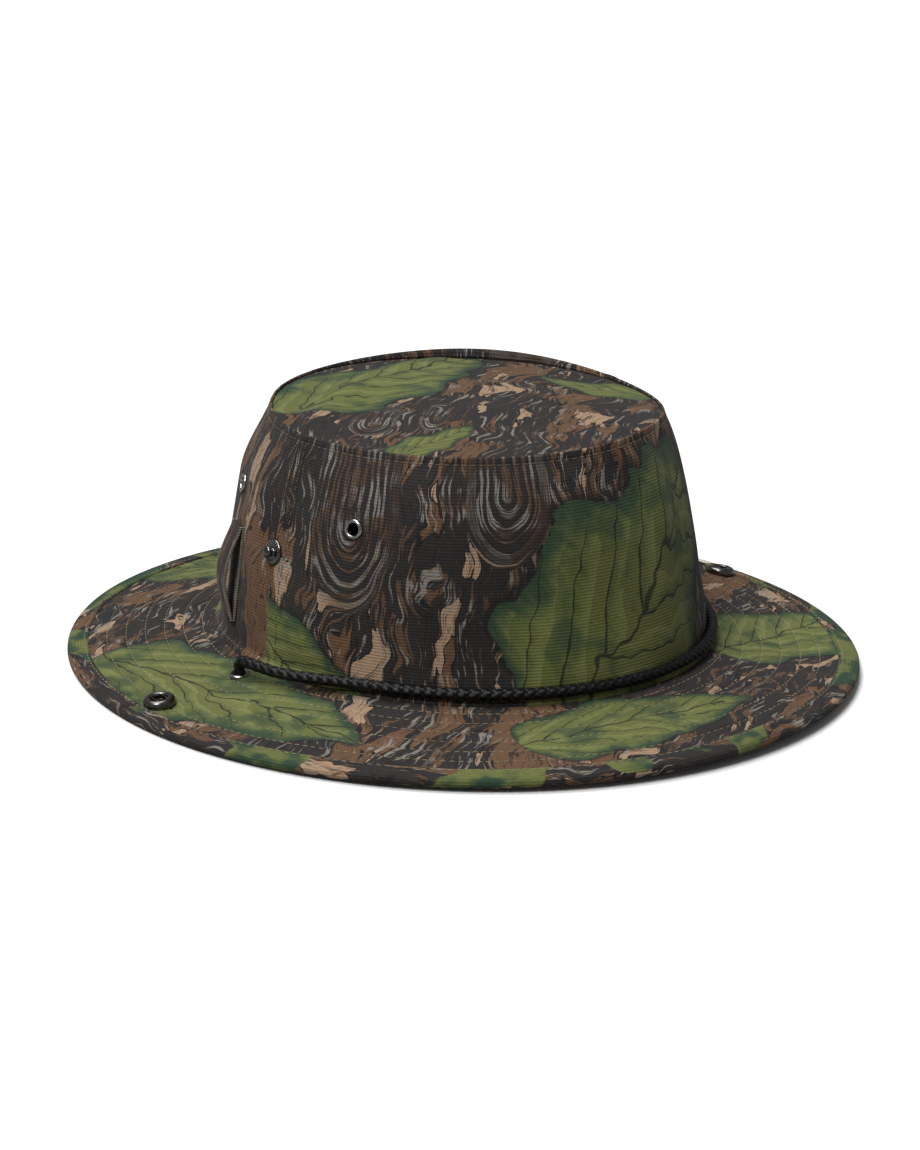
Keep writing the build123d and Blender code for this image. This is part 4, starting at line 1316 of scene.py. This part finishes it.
def braid(name, line, diameter):
    """Braided tube along a line: strands cross over and under each other."""
    steps = np.linalg.norm(np.diff(line, axis=0), axis=1)
    keep = np.concatenate([[True], steps > 1e-7])
    line = line[keep]
    length = np.concatenate([[0], np.cumsum(np.linalg.norm(np.diff(line, axis=0), axis=1))])
    count = max(int(length[-1] / (0.36 * MM)), 8)
    at = np.linspace(0, length[-1], count)
    path = np.stack([np.interp(at, length, line[:, k]) for k in range(3)], -1)
    for _ in range(4):
        path[1:-1] = (path[:-2] + 2 * path[1:-1] + path[2:]) / 4
    tangent = np.gradient(path, axis=0)
    tangent /= np.linalg.norm(tangent, axis=1)[:, None]
    sides = np.empty_like(path)
    side = np.cross(tangent[0], [0, 0, 1.0])
    if np.linalg.norm(side) < 0.2:
        side = np.cross(tangent[0], [0, 1.0, 0])
    for k, way in enumerate(tangent):
        side = side - (side @ way) * way
        side /= np.linalg.norm(side)
        sides[k] = side
    others = np.cross(tangent, sides)
    around = 32
    turns = np.linspace(0, 2 * math.pi, around, endpoint=False)
    twist = at[:, None] / (diameter / 2) * 0.9
    first, second = 2 * (turns[None] + twist), 2 * (turns[None] - twist)
    over = (np.floor(first / math.pi) + np.floor(second / math.pi)) % 2 == 0
    a, b = np.abs(np.sin(first)), np.abs(np.sin(second))
    bump = np.where(over, a**0.6 * (0.55 + 0.45 * b), b**0.6 * (0.55 + 0.45 * a))
    radius = diameter / 2 * (0.72 + 0.30 * bump)
    ring = np.cos(turns)[None, :, None] * sides[:, None] + np.sin(turns)[None, :, None] * others[:, None]
    points = path[:, None] + radius[..., None] * ring
    u = np.broadcast_to(turns[None] / (2 * math.pi) * 12 * MM, radius.shape)
    v = np.broadcast_to(at[:, None], radius.shape)
    return closed_strip(name, points, np.stack([u, v], -1)), path


class BuildCord(bpy.types.Operator):
    """Build the braided chin cord, its slider and its end knot"""

    bl_idname = "hat.chin_cord"
    bl_label = "Chin cord"

    def execute(self, context):
        kit = finishes()
        diameter = context.scene.hat_sizes.cord
        step = (180 - 2 * BAND_END) / BAND_STEPS
        swell = (HEAD_X + HEAD_Y) / 2 * (1 - math.cos(math.radians(step / 2)))
        band = []
        for k in range(BAND_STEPS + 1):
            turn = math.radians(180 + BAND_END + k * step)
            band.append(((HEAD_X + BAND_OFF + swell) * math.cos(turn),
                         (HEAD_Y + BAND_OFF + swell) * math.sin(turn), BAND_Z))
        top = SEAM_Z + diameter
        half_way = (top + FLOOR) / 2
        lead = {s: [in_bore(s, half_way), in_bore(s, top), (s * EYELET_X, -0.009, top),
                    (s * (EYELET_X - 4 * MM), -0.023, BAND_Z - 0.7 * MM)] for s in (-1, 1)}
        whole = lead[-1] + band + lead[1][::-1]
        line = spline_points("band_route", whole)
        middle = int(np.argmin(np.abs(line[:, 0]) + (line[:, 1] > 0) * 1.0))
        for sign, side, part in ((-1, "right", line[:middle + 1]), (1, "left", line[middle:])):
            obj, _ = braid(f"chin_cord_band_{side}", part, diameter)
            dress(obj, kit["cord"], None, ["chin_cord_front", f"chin_cord_{side}_lead"])
            bend_with_side(obj)
        slider = self.slider(kit)
        knot = self.knot(kit, diameter)
        for sign, side, route in ((-1, "right", RIGHT_LEG), (1, "left", LEFT_LEG)):
            corners = [tuple(c * MM for c in corner) for corner in route]
            points = [in_bore(sign, half_way), in_bore(sign, FLOOR), *corners]
            line = spline_points(f"{side}_leg_route", points)
            obj, path = braid(f"chin_cord_leg_{side}", line, diameter)
            dress(obj, kit["cord"], None, [f"chin_cord_{side}_leg"])
            bend_with_side(obj)
        return {"FINISHED"}

    def slider(self, kit):
        """Rounded two-bore slider."""
        low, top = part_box("chin_slider")
        middle, half = (low + top) / 2, (top - low) / 2
        turns = np.linspace(0, 2 * math.pi, TURN_STEPS, endpoint=False)
        wide, high = (np.sign(way) * np.abs(way) ** 0.62 for way in (np.cos(turns), np.sin(turns)))
        rows = []
        for y, shrink in SLIDER_ROWS:
            x = wide * (half.x - (1 - shrink) * 2.2 * MM)
            z = high * half.z * shrink
            y = np.full(TURN_STEPS, middle.y + y * half.y)
            rows.append(np.stack([middle.x + x, y, middle.z + z], -1))
        points = np.array(rows)
        obj = tidy_normals(new_object("slider_block", points.reshape(-1, 3), tube_faces(*points.shape[:2])))
        for x in (-LEG_X, LEG_X):
            cutter = turned_ring("cutter", SLIDER_BORE, (x, middle.y, middle.z), (0, 1, 0))
            cut = obj.modifiers.new("bore", "BOOLEAN")
            cut.object, cut.operation = cutter, "DIFFERENCE"
            plain(obj)
            bpy.data.objects.remove(cutter)
        dress(obj, kit["plastic"], "slider", ["chin_slider"])
        return obj

    def knot(self, kit, diameter):
        """Knot of the two legs, a closed trefoil of cord."""
        low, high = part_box("chin_cord_knot")
        middle, half = (low + high) / 2, (high - low) / 2
        t = np.linspace(0, 2 * math.pi, 260)
        reach = half - Vector([diameter / 2] * 3) * 0.9
        path = np.stack([middle.x + reach.x * (np.sin(t) + 2 * np.sin(2 * t)) / 2.7,
                         middle.y + reach.y * (np.cos(t) - 2 * np.cos(2 * t)) / 2.7,
                         middle.z - reach.z * 0.9 * np.sin(3 * t)], -1)
        obj, _ = braid("cord_knot", path, diameter * 0.98)
        dress(obj, kit["cord"], "hat", ["chin_cord_knot"])
        return obj


# ---- Operators: stage ----------------------------------------------------------------------------
SKY = 0.20  # strength of the white surroundings
SUNS = (("key", (-0.85, -0.30, 1.25), 26, 2.25), ("top", (-0.2, 0.45, 1.7), 40, 1.85))  # place, spread, power
LIT = Vector((0, 0, 0.04))
CAMERA_AZIMUTH, CAMERA_ELEVATION, CAMERA_ROLL = -38, 17.25, 1.15  # degrees
CAMERA_LENS, CAMERA_AWAY, CAMERA_SHIFT = 81.4, 1.0, 0.0012  # millimetres, metres, metres
CAMERA_LOOKS_AT = Vector((0, 0, 0.0285))
PAPER_LOW, PAPER_HIGH = (0.90,) * 3, (0.94,) * 3
PAPER_SHADE_BOUNCE = (0.30,) * 3  # painted shade: all rays but the camera's see the floor this dark, so less light bounces onto the hat's walls and under its brim


class BuildStage(bpy.types.Operator):
    """Build the floor, the soft lights and the camera"""

    bl_idname = "hat.stage"
    bl_label = "Stage"

    def execute(self, context):
        floor = new_object("floor", [(-6, -6, 0), (6, -6, 0), (6, 6, 0), (-6, 6, 0)], [(0, 1, 2, 3)])
        book = Book("floor_paper", roughness=0.9)
        grain = book.noise(object_place(book), 40.0, 2.0)
        # Painted shade: the camera sees the pale paper, every other ray sees the dark bounce colour, which
        # deepens the shade on the hat.
        seen = book.node("ShaderNodeLightPath", {}, {})
        book.paint(book.mix(seen, PAPER_SHADE_BOUNCE, book.mix(grain, PAPER_LOW, PAPER_HIGH)))
        floor.data.materials.append(book.material)
        world = bpy.data.worlds.new("studio")
        world.use_nodes = True
        world.node_tree.nodes["Background"].inputs[0].default_value = (1, 1, 1, 1)
        world.node_tree.nodes["Background"].inputs[1].default_value = SKY
        context.scene.world = world
        context.scene.view_settings.view_transform = "Standard"
        for name, place, spread, power in SUNS:
            lamp = bpy.data.lights.new(name, "SUN")
            lamp.angle, lamp.energy = math.radians(spread), power
            obj = bpy.data.objects.new(name, lamp)
            obj.location = place
            obj.rotation_euler = (LIT - Vector(place)).to_track_quat("-Z", "Y").to_euler()
            context.scene.collection.objects.link(obj)
        azimuth, elevation, roll = (math.radians(v) for v in (CAMERA_AZIMUTH, CAMERA_ELEVATION, CAMERA_ROLL))
        back = Vector((math.sin(azimuth) * math.cos(elevation), -math.cos(azimuth) * math.cos(elevation),
                       math.sin(elevation)))
        across = Vector((math.cos(azimuth), math.sin(azimuth), 0))
        upright = back.cross(across)
        right = across * math.cos(roll) + upright * math.sin(roll)
        up = upright * math.cos(roll) - across * math.sin(roll)
        lens = bpy.data.cameras.new("camera")
        lens.lens, lens.sensor_width = CAMERA_LENS, 36.0
        camera = bpy.data.objects.new("camera", lens)
        place = CAMERA_LOOKS_AT - across * CAMERA_SHIFT + back * CAMERA_AWAY
        camera.matrix_world = Matrix.Translation(place) @ Matrix((right, up, back)).transposed().to_4x4()
        context.scene.collection.objects.link(camera)
        context.scene.camera = camera
        return {"FINISHED"}


STEPS = (BuildCrownWall, BuildCrownTip, BuildBrim, BuildBinding, BuildStitching, BuildKeeperLoop, BuildInside,
         BuildEyelets, BuildSnaps, BuildCord, BuildStage)


class HatPanel(bpy.types.Panel):
    """Sizes, colours and build steps of the hat"""

    bl_idname = "VIEW3D_PT_boonie_hat"
    bl_label = "Boonie hat"
    bl_space_type = "VIEW_3D"
    bl_region_type = "UI"
    bl_category = "Hat"

    def draw(self, context):
        for group in (context.scene.hat_sizes, context.scene.hat_colours):
            column = self.layout.column(align=True)
            for name in group.__annotations__:
                column.prop(group, name)
        for step in STEPS:
            self.layout.operator(step.bl_idname)


CLASSES = (HatSizes, HatColours, *STEPS, HatPanel)


def register():
    for cls in CLASSES:
        bpy.utils.register_class(cls)
    bpy.types.Scene.hat_sizes = bpy.props.PointerProperty(type=HatSizes)
    bpy.types.Scene.hat_colours = bpy.props.PointerProperty(type=HatColours)


def unregister():
    del bpy.types.Scene.hat_sizes, bpy.types.Scene.hat_colours
    for cls in reversed(CLASSES):
        bpy.utils.unregister_class(cls)


def main():
    register()
    for step in STEPS:
        space, name = step.bl_idname.split(".")
        getattr(getattr(bpy.ops, space), name)()


if __name__ == "__main__":
    main()
